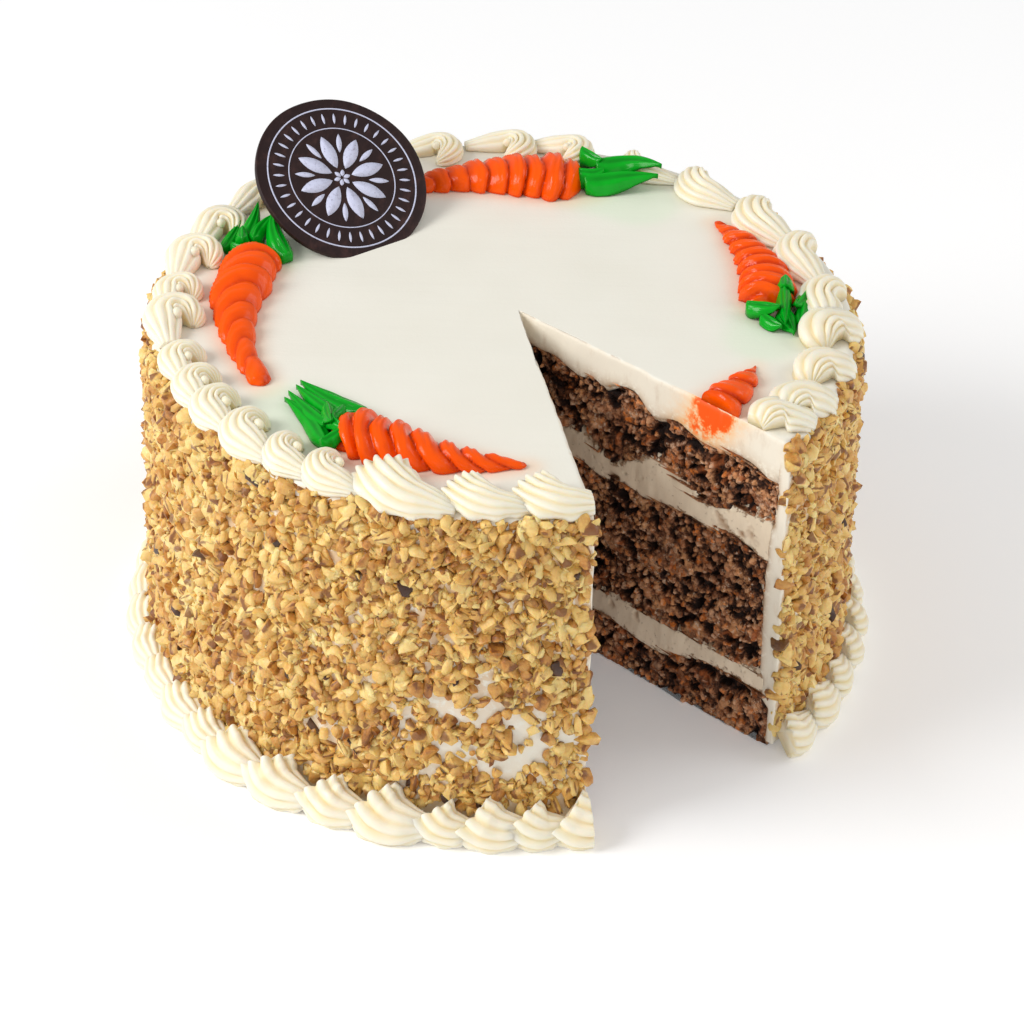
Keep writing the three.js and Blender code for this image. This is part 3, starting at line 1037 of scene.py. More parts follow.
# --- sponge and fillings
@dataclass(frozen=True)
class CakeLayer:
    """A layer that runs through the cake between two lines, with both its cut faces."""

    node: str
    low: LayerLine
    high: LayerLine
    radius: float
    finish: Finish
    slot: str
    step: float = 0.45
    arc_step: float = 5.0
    overlap: float = 0.0
    seed: int = 7

    def relief(self, points: Array) -> tuple[Array, dict[str, Array]]:
        """How far the cut stands out, and the values that colour it."""
        raise NotImplementedError

    def draft(self) -> Draft:
        """Builds the layer as one closed shape.

        Returns:
            The shape.
        """
        plan, ways, on_cut = GAP_IN_CAKE.outline(self.radius, self.step, self.arc_step)
        low, high = self.low.height(plan), self.high.height(plan)
        over = self.overlap * on_cut
        rows = math.ceil(float(np.mean(high - low + 2 * over)) / self.step)
        share = np.linspace(0, 1, rows + 1)[:, None]
        grid = np.empty((rows + 1, len(plan), 3))
        grid[..., :2] = plan
        grid[..., 2] = low - over + (high - low + 2 * over) * share
        stand, values = self.relief(grid)
        past = np.maximum(low - grid[..., 2], grid[..., 2] - high)
        stand = stand - 0.9 * np.clip(past, 0, None)
        values["edge"] = unit(1 + past / 1.8)
        keep = on_cut * unit(GAP_IN_CAKE.away(plan) / 2.0)
        grid[..., :2] += (stand * keep)[..., None] * ways
        made = Draft()
        numbers = made.add_grid(grid, wrap=True, **values)
        behind = GAP_IN_CAKE.point(np.array((GAP_IN_CAKE.start + GAP_IN_CAKE.end) / 2 + 180), 30.0)
        plain = {name: 0.5 for name in values}
        for row, line in ((0, self.low), (-1, self.high)):
            level = float(line.height(behind[None])[0])
            made.add_fan(numbers[row], np.array([*behind, level]), **plain)
        return made

    def build(self) -> None:
        """Makes and settles the piece."""
        settle(self.draft().object(f"{self.node}_cut", self.finish.material()), self.slot, self.node)


@dataclass(frozen=True)
class SpongeLayer(CakeLayer):
    """Coarse, moist sponge: rounded grains, each at its own level, over gaps and holes that its finish
    paints dark as shade.
    """

    step: float = 0.33
    grain_size: float = 1.9
    fine_grain_share: float = 0.52
    grain_reach: float = 0.66
    missing_grains: float = 0.16
    warp: float = 0.6
    hole_size: float = 5.2
    hole_depth: float = 2.4
    shred_size: float = 1.9
    shreds: float = 0.03
    stained: float = 0.0
    stain_middle: float = 80.0
    stain_spread: float = 20.0
    fruit_size: float = 5.5
    fruits: float = 0.04

    def strands(self, points: Array, stretch: Point, seed: int) -> Array:
        """Finds thin shreds that lie one way.

        Args:
            points: Places on the flat cuts.
            stretch: Factors that make them long one way.
            seed: Seed of where they lie.

        Returns:
            One in the middle of a shred, zero outside.
        """
        near, number = Unevenness(seed).cells(points * np.array(stretch), self.shred_size)
        away = GAP_IN_CAKE.away(points)
        off = (away - self.stain_middle) / self.stain_spread
        share = self.shreds + self.stained * np.exp(-(off**2))
        return (number < share) * unit(1.9 - 3.4 * near)

    def relief(self, points: Array) -> tuple[Array, dict[str, Array]]:
        """Heaps grains and leaves gaps between them.

        Args:
            points: Places on the flat cuts.

        Returns:
            The distances in millimetres and the values by name.
        """
        noise = Unevenness(self.seed)
        drift = np.stack([noise.smooth(points + 11 * k, 2.1) for k in range(3)], axis=-1)
        warped = points + self.warp * drift
        near, number = noise.cells(warped, self.grain_size)
        near_fine, fine_number = noise.cells(warped + 90, self.grain_size * self.fine_grain_share)
        dome, fine = (unit(1 - (away / self.grain_reach) ** 2) ** 0.75 for away in (near, near_fine))
        missing = unit((self.missing_grains - number) / 0.02)
        holes = unit((noise.layered(points, self.hole_size, 3) - 0.27) * 3.4)
        lumps = noise.layered(points + 23, 8.0, 2)
        shred = np.maximum(
            self.strands(warped, (1.0, 1.0, 0.34), self.seed + 60),
            self.strands(warped, (0.42, 0.42, 1.15), self.seed + 70),
        )
        near_fruit, fruit_number = Unevenness(self.seed + 80).cells(warped, self.fruit_size)
        fruit = (fruit_number < self.fruits) * unit(3.4 - 9 * near_fruit)
        coarse = np.clip(0.85 + 1.3 * noise.layered(points + 47, 6.0, 2), 0.4, 1.1)
        own = 1.5 * (number - 0.6) * unit(3 * dome) * coarse
        heap = (0.9 * dome + 0.5 * (fine - 0.4)) * coarse + own
        heap = heap + 0.35 * (fine_number - 0.5) + 0.5 * (1 - coarse)
        gone = np.maximum(missing, holes)
        stand = heap - 0.5 + 0.5 * lumps - self.hole_depth * gone * (1 - 0.25 * fine) + 0.25 * shred
        # Painted shade and highlight: darker in holes and where grains are missing, lighter on domed
        # grains, with random changes per grain.
        shade = 0.58 + coarse * (0.36 * dome + 0.24 * fine - 0.40) + 0.24 * own + 0.1 * lumps - 0.5 * gone
        return stand, {"relief": unit(shade), "grain": number, "shred": shred, "fruit": fruit}


@dataclass(frozen=True)
class CreamFilling(CakeLayer):
    """Smooth cream between two layers of sponge, drawn a little over both at the cuts."""

    overlap: float = 1.6

    def relief(self, points: Array) -> tuple[Array, dict[str, Array]]:
        """Smears the cream a little along the cut.

        Args:
            points: Places on the flat cuts.

        Returns:
            The distances in millimetres and the values by name.
        """
        noise = Unevenness(self.seed)
        drawn = points * np.array([1.0, 1.0, 0.4])
        stand = 0.55 * noise.layered(drawn, 6.0, 3) - 0.1
        pits = unit(noise.smooth(points, 1.6) - 0.68) * 3.5
        torn = unit(noise.layered(points + 70, 7.0, 4) - 0.42) * 3.0
        return stand - pits - torn, {"relief": stand, "torn": unit(torn)}


# --- piped carrots
class LeafShape(Enum):
    """Outlines of a piped leaf: places along it and half widths as shares of the widest."""

    POINTED = ((0, 0.50), (0.08, 0.80), (0.28, 1.0), (0.55, 0.80), (0.82, 0.38), (1, 0.03))
    OVAL = ((0, 0.30), (0.10, 0.70), (0.35, 1.0), (0.65, 0.90), (0.88, 0.52), (1, 0.10))
    LIP = ((0, 0.45), (0.10, 0.82), (0.35, 1.0), (0.70, 0.95), (0.90, 0.70), (1, 0.30))


@dataclass(frozen=True)
class Leaf:
    """One leaf, from its start to its tip, each as places ahead of the carrot's head, outward and up."""

    start: Point
    tip: Point
    half_width: float
    fold: float
    bow: float = 0.0
    shape: LeafShape = LeafShape.POINTED
    rows: int = 34
    columns: int = 17

    def draft(self, place: Array, forward: Array, outward: Array, seed: int) -> Draft:
        """Builds the leaf.

        Args:
            place: The carrot's head.
            forward: Direction to the carrot's tip.
            outward: Direction away from the cake's axis.
            seed: Seed of its unevenness.

        Returns:
            A closed blade, folded along its middle and creased beside the fold.
        """
        noise = Unevenness(seed)
        share = np.linspace(0, 1, self.rows)[:, None]
        span = np.linspace(-1, 1, self.columns)[None, :]
        ends = [place + s[0] * forward + s[1] * outward for s in (self.start, self.tip)]
        way = ends[1] - ends[0]
        length = float(np.linalg.norm(way))
        aside = np.array([-way[1], way[0]]) / length
        middle = ends[0] + share * way + self.bow * np.sin(np.pi * share) * aside
        tangent = np.gradient(middle, axis=0)
        tangent /= np.linalg.norm(tangent, axis=1)[:, None]
        across = np.column_stack([-tangent[:, 1], tangent[:, 0]])
        profile = eased(self.shape.value, share)
        wavy = noise.smooth(np.stack([share, share, share], -1) * 5, 1.0)
        half = self.half_width * profile * (1 + 0.06 * wavy)
        edge = np.abs(span)
        ribs = 0.22 * np.cos(3.2 * np.pi * span) * (1 - edge**4) * np.sin(np.pi * share) ** 0.5
        sides = self.fold * profile * (0.55 * edge**1.2 + 0.45 * edge**4)
        ripple = 0.35 * np.sin(8 * share + 3 * np.sign(span) + seed) * edge**2 * profile
        top = self.start[2] + (self.tip[2] - self.start[2]) * share
        upper = np.maximum(top - sides + ribs + ripple, 0.3)
        lifted = unit((share - 0.2) / 0.5)
        lower = np.maximum((upper - 0.6 - 1.2 * (1 - edge)) * lifted, 0.05)
        lower = np.minimum(lower, upper - 0.1)
        flat = middle[:, None] + (half * span)[..., None] * across[:, None]
        face, belly = (np.concatenate([flat, z[..., None]], axis=-1) for z in (upper, lower))
        ring = np.concatenate([face, belly[:, ::-1]], axis=1)
        ring[..., 2] += CAKE_HEIGHT + GAP
        # Painted shade: in the creases between the ribs, and a steady amount on the underside.
        groove = np.concatenate([unit(0.5 - 2 * ribs) * (1 - 0.5 * edge), 0 * ribs + 0.6], axis=1)
        both_sides = np.tile(span * self.half_width, 2)
        run = np.stack(np.broadcast_arrays(both_sides, length * share, 0.0), axis=-1)
        made = Draft()
        numbers = made.add_grid(ring, wrap=True, groove=groove, run=run)
        made.add_fan(numbers[0], ring[0].mean(axis=0), groove=0.5, run=NO_RUN)
        made.add_fan(numbers[-1], ring[-1].mean(axis=0), groove=0.5, run=NO_RUN)
        return made


@dataclass(frozen=True)
class PipedCarrot:
    """A carrot of overlapping lobes piped along an arc round the axis, with its leaves."""

    name: str
    head: float
    tip: float
    arc: float
    size: float
    lobes: tuple[float, ...]
    leaves: tuple[Leaf, ...] = ()
    slant: float = 0.5
    bow: float = 0.25
    smooth_side: float = 0.0
    smooth_way: int = 1
    notch: float = 0.26
    tip_width: float = 0.2
    seed: int = 1
    half_width: float = 10.4
    height: float = 9.0
    rings: int = 170
    sides: int = 26
    drift: float = 0.0

    def frame(self, share: Array) -> tuple[Array, Array, Array]:
        """The carrot's line.

        Args:
            share: Shares of its length from the head.

        Returns:
            The places, the directions to the tip and the directions outward, as x and y.
        """
        along = np.asarray(share, float)
        azimuth = self.head + (self.tip - self.head) * along
        angle = np.radians(azimuth)
        forward = np.stack([np.cos(angle), np.sin(angle)], axis=-1)
        outward = np.stack([np.sin(angle), -np.cos(angle)], axis=-1)
        return around(azimuth, self.arc + self.drift * along), forward, outward

    def distance(self, points: Array, leafy: bool) -> Array:
        """How far points on the icing are from the carrot or its leaves.

        Args:
            points: Places as x and y.
            leafy: Whether the leaves are meant.

        Returns:
            Distances in millimetres from the edge.
        """
        shares = np.linspace(-0.3, -0.02, 6) if leafy else np.linspace(0, 1, 24)
        places, _, _ = self.frame(shares)
        width = self.half_width * self.size
        half = np.full(len(shares), width * 0.9) if leafy else width * self.widths(shares)
        away = [np.linalg.norm(points - p, axis=-1) - h for p, h in zip(places, half, strict=True)]
        return np.min(away, axis=0)

    def widths(self, share: Array) -> Array:
        """The body's width along its length, as a share of the widest.

        Args:
            share: Shares of the length.

        Returns:
            The widths.
        """
        profile = (
            (0.0, 0.66), (0.08, 0.92), (0.2, 1.0), (0.5, 0.76),
            (0.8, 0.44), (0.94, self.tip_width + 0.06), (1.0, self.tip_width),
        )
        return eased(profile, unit(share))

    def body(self) -> Draft:
        """Builds the body.

        Returns:
            A closed shape.
        """
        noise = Unevenness(40 + self.seed)
        share = np.linspace(0, 1, self.rings)[:, None]
        angle = np.linspace(0, np.pi, self.sides)[None, :]
        bounds = np.concatenate([[-0.35], np.cumsum(self.lobes) / sum(self.lobes) * 1.0, [1.4]])
        bounds = np.insert(bounds, 1, 0.0)
        side = (1 + self.smooth_way * np.cos(angle)) / 2
        lean = self.slant * 0.065 * (1 + np.cos(angle)) - self.bow * 0.13 * np.sin(angle)
        wobble = 0.012 * noise.smooth(np.stack(np.broadcast_arrays(share * 14, angle * 1.5, 0.0), -1), 1.0)
        at = share - lean * (1 - 0.4 * share) + wobble
        lobe = np.clip(np.searchsorted(bounds, at.ravel()).reshape(at.shape) - 1, 0, len(bounds) - 2)
        phase = unit((at - bounds[lobe]) / (bounds[lobe + 1] - bounds[lobe])) ** 0.8
        pillow = np.sqrt(unit(4 * phase * (1 - phase)))
        teeth = 0.05 * np.cos(2 * np.pi * 3 * phase) * (1 - side)
        swell = 1 - self.notch * (1 - self.smooth_side * side) * (1 - pillow) - 0.08 * phase + teeth
        own = np.random.default_rng(self.seed).uniform(0.93, 1.07, len(bounds))[lobe]
        ends = np.sqrt(unit(share / 0.035)) * np.sqrt(unit((1 - share) / 0.03))
        size = self.size * self.widths(share) * swell * own * ends
        across = self.half_width * size * np.cos(angle)
        up = self.height * size * np.sin(angle) ** 0.9
        centre, forward, outward = self.frame(share[:, 0])
        grid = np.empty((self.rings, self.sides, 3))
        grid[..., :2] = centre[:, None] + across[..., None] * outward[:, None]
        grid[..., 2] = CAKE_HEIGHT + GAP + up
        length = math.radians(abs(self.tip - self.head)) * self.arc
        run = np.stack(np.broadcast_arrays(at * length, angle * 8.0, 0.0 * at), axis=-1)
        made = Draft()
        # Painted shade in the grooves between the lobes.
        numbers = made.add_grid(grid, wrap=True, groove=1 - pillow, run=run)
        for row, end in ((0, 0.0), (-1, 1.0)):
            place, _, _ = self.frame(end)
            middle = np.array([*place, CAKE_HEIGHT + GAP])
            made.add_fan(numbers[row], middle, groove=0.0, run=NO_RUN)
        return made


@dataclass(frozen=True)
class CarrotPatch:
    """All piped carrots and their leaves."""

    carrots: tuple[PipedCarrot, ...]
    orange: Finish
    green: Finish
    head_share: float = 0.03

    def near(self, points: Array, leafy: bool, fade: float) -> Array:
        """How strongly the icing is tinted.

        Args:
            points: Places as x and y.
            leafy: Whether by leaves.
            fade: How far the tint reaches.

        Returns:
            Numbers from zero to one.
        """
        chosen = [c for c in self.carrots if c.leaves or not leafy]
        away = np.min([c.distance(points, leafy) for c in chosen], axis=0)
        return np.exp(-((np.clip(away, 0, None) / fade) ** 2))

    def build(self) -> None:
        """Makes and settles every carrot and tuft."""
        orange, green = self.orange.material(), self.green.material()
        for carrot in self.carrots:
            body = carrot.body() if carrot.leaves else GAP_IN_CAKE.trim(carrot.body())
            node = f"carrot_{carrot.name}"
            settle(body.object(f"{node}_piped", orange), "carrot_piping", node)
            if not carrot.leaves:
                continue
            node = f"leaves_{carrot.name}"
            head = carrot.frame(np.array(self.head_share))
            blades = [leaf.draft(*head, seed) for seed, leaf in enumerate(carrot.leaves)]
            settle(joined(blades).object(f"{node}_piped", green), "leaf_piping", node)


# --- icing coat
@dataclass(frozen=True)
class BarePatch:
    """Where few bits of walnut stick to the side, low down and beside the first cut."""

    turn: float = 362.0
    half_span: float = 8.0
    fade: float = 17.0
    level: float = 30.0
    level_fade: float = 20.0

    def strength(self, turns: Array, levels: Array) -> Array:
        """How bare the side is.

        Args:
            turns: Directions from the apex of the gap, in degrees.
            levels: Heights from the floor.

        Returns:
            Numbers from zero to one.
        """
        past = np.clip(np.abs(turns - self.turn) - self.half_span, 0, None) / self.fade
        off = (levels - self.level) / self.level_fade
        return np.exp(-(past**2)) * np.exp(-(off**2))


BARE_PATCH = BarePatch()


@dataclass(frozen=True)
class IcingCoat:
    """The cream over the top and round the side, as thick as the layers inside leave room for."""

    layers: tuple[CakeLayer, ...]
    patch: CarrotPatch
    finish: Finish
    top_rows: int = 56
    side_rows: int = 44
    edge_rows: int = 7
    cut_depths: tuple[float, ...] = (0, 0.04, 0.12, 0.26, 0.42, 0.58, 0.74, 0.88, 1.0)
    overlap: float = 2.2
    overlap_columns: int = 4
    smear_middle: float = 76.5
    smear_spread: float = 8.6
    turn_step: float = 0.9
    waviness: float = 0.22
    orange_reach: float = 3.2
    green_reach: float = 4.5

    def room_radius(self, z: Array) -> Array:
        """The radius of the layers at a height.

        Args:
            z: Heights from the floor.

        Returns:
            Radii.
        """
        radii = np.full(np.shape(z), self.layers[-1].radius)
        for layer in reversed(self.layers):
            radii = np.where(np.asarray(z) < layer.high.level, layer.radius, radii)
        return radii

    def profiles(self, turns: Array) -> tuple[Array, Array]:
        """The coat's outer and inner lines in every direction from the apex.

        Args:
            turns: Directions in degrees.

        Returns:
            Outer and inner points, by place along the line and direction.
        """
        flat_edge = COAT_RADIUS - COAT_EDGE
        share = np.linspace(0, 1, self.top_rows)
        bend = np.linspace(0, np.pi / 2, self.edge_rows)[1:]
        fall = np.linspace(CAKE_HEIGHT - COAT_EDGE, COAT_FOOT, self.side_rows)[1:]
        radius = np.concatenate([flat_edge + COAT_EDGE * np.sin(bend), side_radius(fall)])
        level = np.concatenate([CAKE_HEIGHT - COAT_EDGE * (1 - np.cos(bend)), fall])
        rows = self.top_rows + len(radius)
        outer = np.empty((rows, len(turns), 3))
        inner = np.empty_like(outer)
        across = share[:, None] * GAP_IN_CAKE.reach(turns, flat_edge)
        inside = share[:, None] * GAP_IN_CAKE.reach(turns, self.layers[-1].radius)
        outer[: self.top_rows, :, :2] = GAP_IN_CAKE.point(turns, across)
        outer[: self.top_rows, :, 2] = CAKE_HEIGHT
        inner[: self.top_rows, :, :2] = GAP_IN_CAKE.point(turns, inside)
        inner[: self.top_rows, :, 2] = self.layers[-1].high.height(inner[: self.top_rows, :, :2])
        reach = np.stack([GAP_IN_CAKE.reach(turns, r) for r in radius])
        outer[self.top_rows :, :, :2] = GAP_IN_CAKE.point(turns, reach)
        outer[self.top_rows :, :, 2] = level[:, None]
        low = np.minimum(level, self.layers[-1].high.level)
        room = self.room_radius(low - 1e-6)
        reach = np.stack([GAP_IN_CAKE.reach(turns, r) for r in room])
        inner[self.top_rows :, :, :2] = GAP_IN_CAKE.point(turns, reach)
        inner[self.top_rows :, :, 2] = low[:, None]
        return outer, inner

    def cut_face(self, noise: Unevenness, outer: Array, inner: Array, way: Array) -> Array:
        """Builds the coat's cut, drawn on over the crumb.

        Args:
            noise: Its unevenness.
            outer: The coat's outer line at the cut.
            inner: Its inner line there.
            way: Direction into the gap.

        Returns:
            Points by place along the lines and by depth.
        """
        depth = np.array(self.cut_depths)
        past = np.linspace(0, 1, self.overlap_columns + 1)[1:]
        through = inner - outer
        inwards = through / np.linalg.norm(through, axis=1)[:, None]
        reach = self.overlap * (1 + 0.5 * noise.layered(inner, 7.0, 2))
        reach += 1.1 * noise.layered(inner + 31, 2.6, 2)
        face = outer[:, None] + through[:, None] * depth[None, :, None]
        beyond = inner[:, None] + inwards[:, None] * (reach[:, None] * past)[..., None]
        face = np.concatenate([face, beyond], axis=1)
        sink = np.concatenate([-0.55 * unit(1 - depth / 0.08) ** 2, -0.1 - 1.5 * past])
        drawn = face * np.array([1.0, 1.0, 0.5])
        stand = 0.5 * noise.layered(drawn, 5.0, 3) + 0.1 + sink
        stand *= unit(np.arange(len(face)) / 3.0)[:, None]
        face[..., :2] += stand[..., None] * way
        return face

    def smear(self, face: Array) -> Array:
        """How much orange the knife drew down the cut from the carrot above.

        Args:
            face: Points of the cut.

        Returns:
            One number for each, above one in the thick of it.
        """
        away = GAP_IN_CAKE.away(face)
        drop = CAKE_HEIGHT - face[..., 2]
        high = unit((15.5 - drop) / 5) * (1 - 0.35 * unit(drop / 10))
        drawn = np.exp(-(((away - self.smear_middle + 0.5 * drop) / self.smear_spread) ** 2))
        blob = np.exp(-(((away - self.smear_middle + 1.5) / 6.5) ** 4)) * unit((7.5 - drop) / 3)
        return np.maximum(drawn * high, 1.5 * blob)

    def dust(self) -> Array:
        """How much crumb clings to the cut, by depth and then past the crumb's edge."""
        clinging = unit((np.array(self.cut_depths) - 0.5) / 0.5) ** 2 * 0.55
        return np.concatenate([clinging, np.full(self.overlap_columns, 0.8)])

    def draft(self) -> Draft:
        """Builds the coat as one closed skin.

        Returns:
            The shape.
        """
        noise = Unevenness(3)
        turns = GAP_IN_CAKE.turns(self.turn_step)
        outer, inner = self.profiles(turns)
        outer[..., 2] += self.waviness * noise.layered(outer, 26.0, 2) * (outer[..., 2] > COAT_FOOT + 1)
        made = Draft()
        plain = dict.fromkeys(("cut", "near_carrot", "near_leaf", "smeared", "crumbed"), 0.0)
        first, second = GAP_IN_CAKE.normals()
        for column, way in ((0, second), (-1, first)):
            face = self.cut_face(noise, outer[:, column], inner[:, column], way)
            outer[:, column], inner[:, column] = face[:, 0], face[:, -1]
            smeared = self.smear(face) * (column == 0)
            made.add_grid(face, **{**plain, "cut": 1.0, "smeared": smeared, "crumbed": self.dust()})
        flat = outer[..., :2]
        on_top = (outer[..., 2] > CAKE_HEIGHT - 1) * 1.0
        side = unit((CAKE_HEIGHT - 6 - outer[..., 2]) / 4)
        bare = BARE_PATCH.strength(turns, outer[..., 2])
        values = {
            "near_carrot": self.patch.near(flat, False, self.orange_reach) * on_top,
            "near_leaf": self.patch.near(flat, True, self.green_reach) * on_top,
            # Where walnut bits sit on the side: nut dust and painted shade between them.
            "crumbed": side * (1 - 0.95 * bare) * 0.75,
        }
        made.add_grid(outer, **{**plain, **values})
        made.add_grid(inner, **plain)
        made.add_grid(np.stack([outer[-1], inner[-1]]), **plain)
        return made

    def build(self) -> None:
        """Makes and settles the piece."""
        settle(self.draft().object("icing_coat_spread", self.finish.material()), "icing", "icing_coat")


# --- geometry nodes
class GrowingTree:
    """A geometry-node tree with named inputs, run once on a seed object."""

    def __init__(self, name: str, inputs: Mapping[str, tuple[str, Any]]) -> None:
        """Makes the tree and its inputs.

        Args:
            name: The tree's name.
            inputs: Socket type and value of each input, by name.
        """
        self.tree = bpy.data.node_groups.new(name, "GeometryNodeTree")
        self.graph = Graph(self.tree)
        self.given = dict(inputs)
        self.tree.interface.new_socket("Geometry", in_out="INPUT", socket_type="NodeSocketGeometry")
        self.ids = {}
        for label, (kind, _) in inputs.items():
            socket = self.tree.interface.new_socket(label, in_out="INPUT", socket_type=kind)
            self.ids[label] = socket.identifier
        self.tree.interface.new_socket("Geometry", in_out="OUTPUT", socket_type="NodeSocketGeometry")
        self.start = self.graph.node("NodeGroupInput")

    def number(self, label: str) -> Value:
        """Reads a number input."""
        return Value(self.graph, self.start.outputs[label])

    def random(self, low: Any, high: Any, seed: int) -> Value:
        """A random number for each point or bit.

        Args:
            low: Least value.
            high: Greatest value.
            seed: Seed of the draw.

        Returns:
            The number.
        """
        inputs = {2: low, 3: high, "Seed": seed}
        node = self.graph.node("FunctionNodeRandomValue", {"data_type": "FLOAT"}, inputs)
        return Value(self.graph, node.outputs[1])

    def finish(self, geometry: Socket, material: Material) -> None:
        """Ends the tree with realized instances and a material.

        Args:
            geometry: What the tree has made.
            material: The material of all of it.
        """
        real = self.graph.node("GeometryNodeRealizeInstances", None, {"Geometry": geometry}).outputs[0]
        inputs = {"Geometry": real, "Material": material}
        made = self.graph.node("GeometryNodeSetMaterial", None, inputs).outputs[0]
        self.graph.node("NodeGroupOutput", None, {"Geometry": made})

    def run(self, base: Mesh, name: str) -> Object:
        """Runs the tree on a mesh.

        Args:
            base: The mesh that it starts from.
            name: Name of the new piece.

        Returns:
            A plain mesh object with the result.
        """
        holder = bpy.data.objects.new(f"{name}_seedbed", base)
        bpy.context.scene.collection.objects.link(holder)
        modifier = holder.modifiers.new(name, "NODES")
        modifier.node_group = self.tree
        for label, (_, value) in self.given.items():
            modifier[self.ids[label]] = value
        shown = holder.evaluated_get(bpy.context.evaluated_depsgraph_get())
        mesh = bpy.data.meshes.new_from_object(shown)
        holder.modifiers.remove(modifier)
        bpy.data.objects.remove(holder)
        piece = bpy.data.objects.new(name, mesh)
        mesh.name = name
        bpy.context.scene.collection.objects.link(piece)
        return piece


# --- walnut crust
class BitKind(Enum):
    """Kinds of chopped bit: length, width and height by the size, corners, and bits a square metre."""

    CHUNK = (1.0, 0.86, 0.74, 24, 78000.0)
    FLAKE = (1.15, 0.9, 0.5, 20, 80000.0)
    SLIVER = (1.4, 0.66, 0.55, 18, 62000.0)
    CORNER = (1.0, 0.95, 0.85, 16, 70000.0)
    NIB = (0.62, 0.54, 0.48, 14, 90000.0)
    CRESCENT = (1.25, 0.85, 0.6, 22, 62000.0)


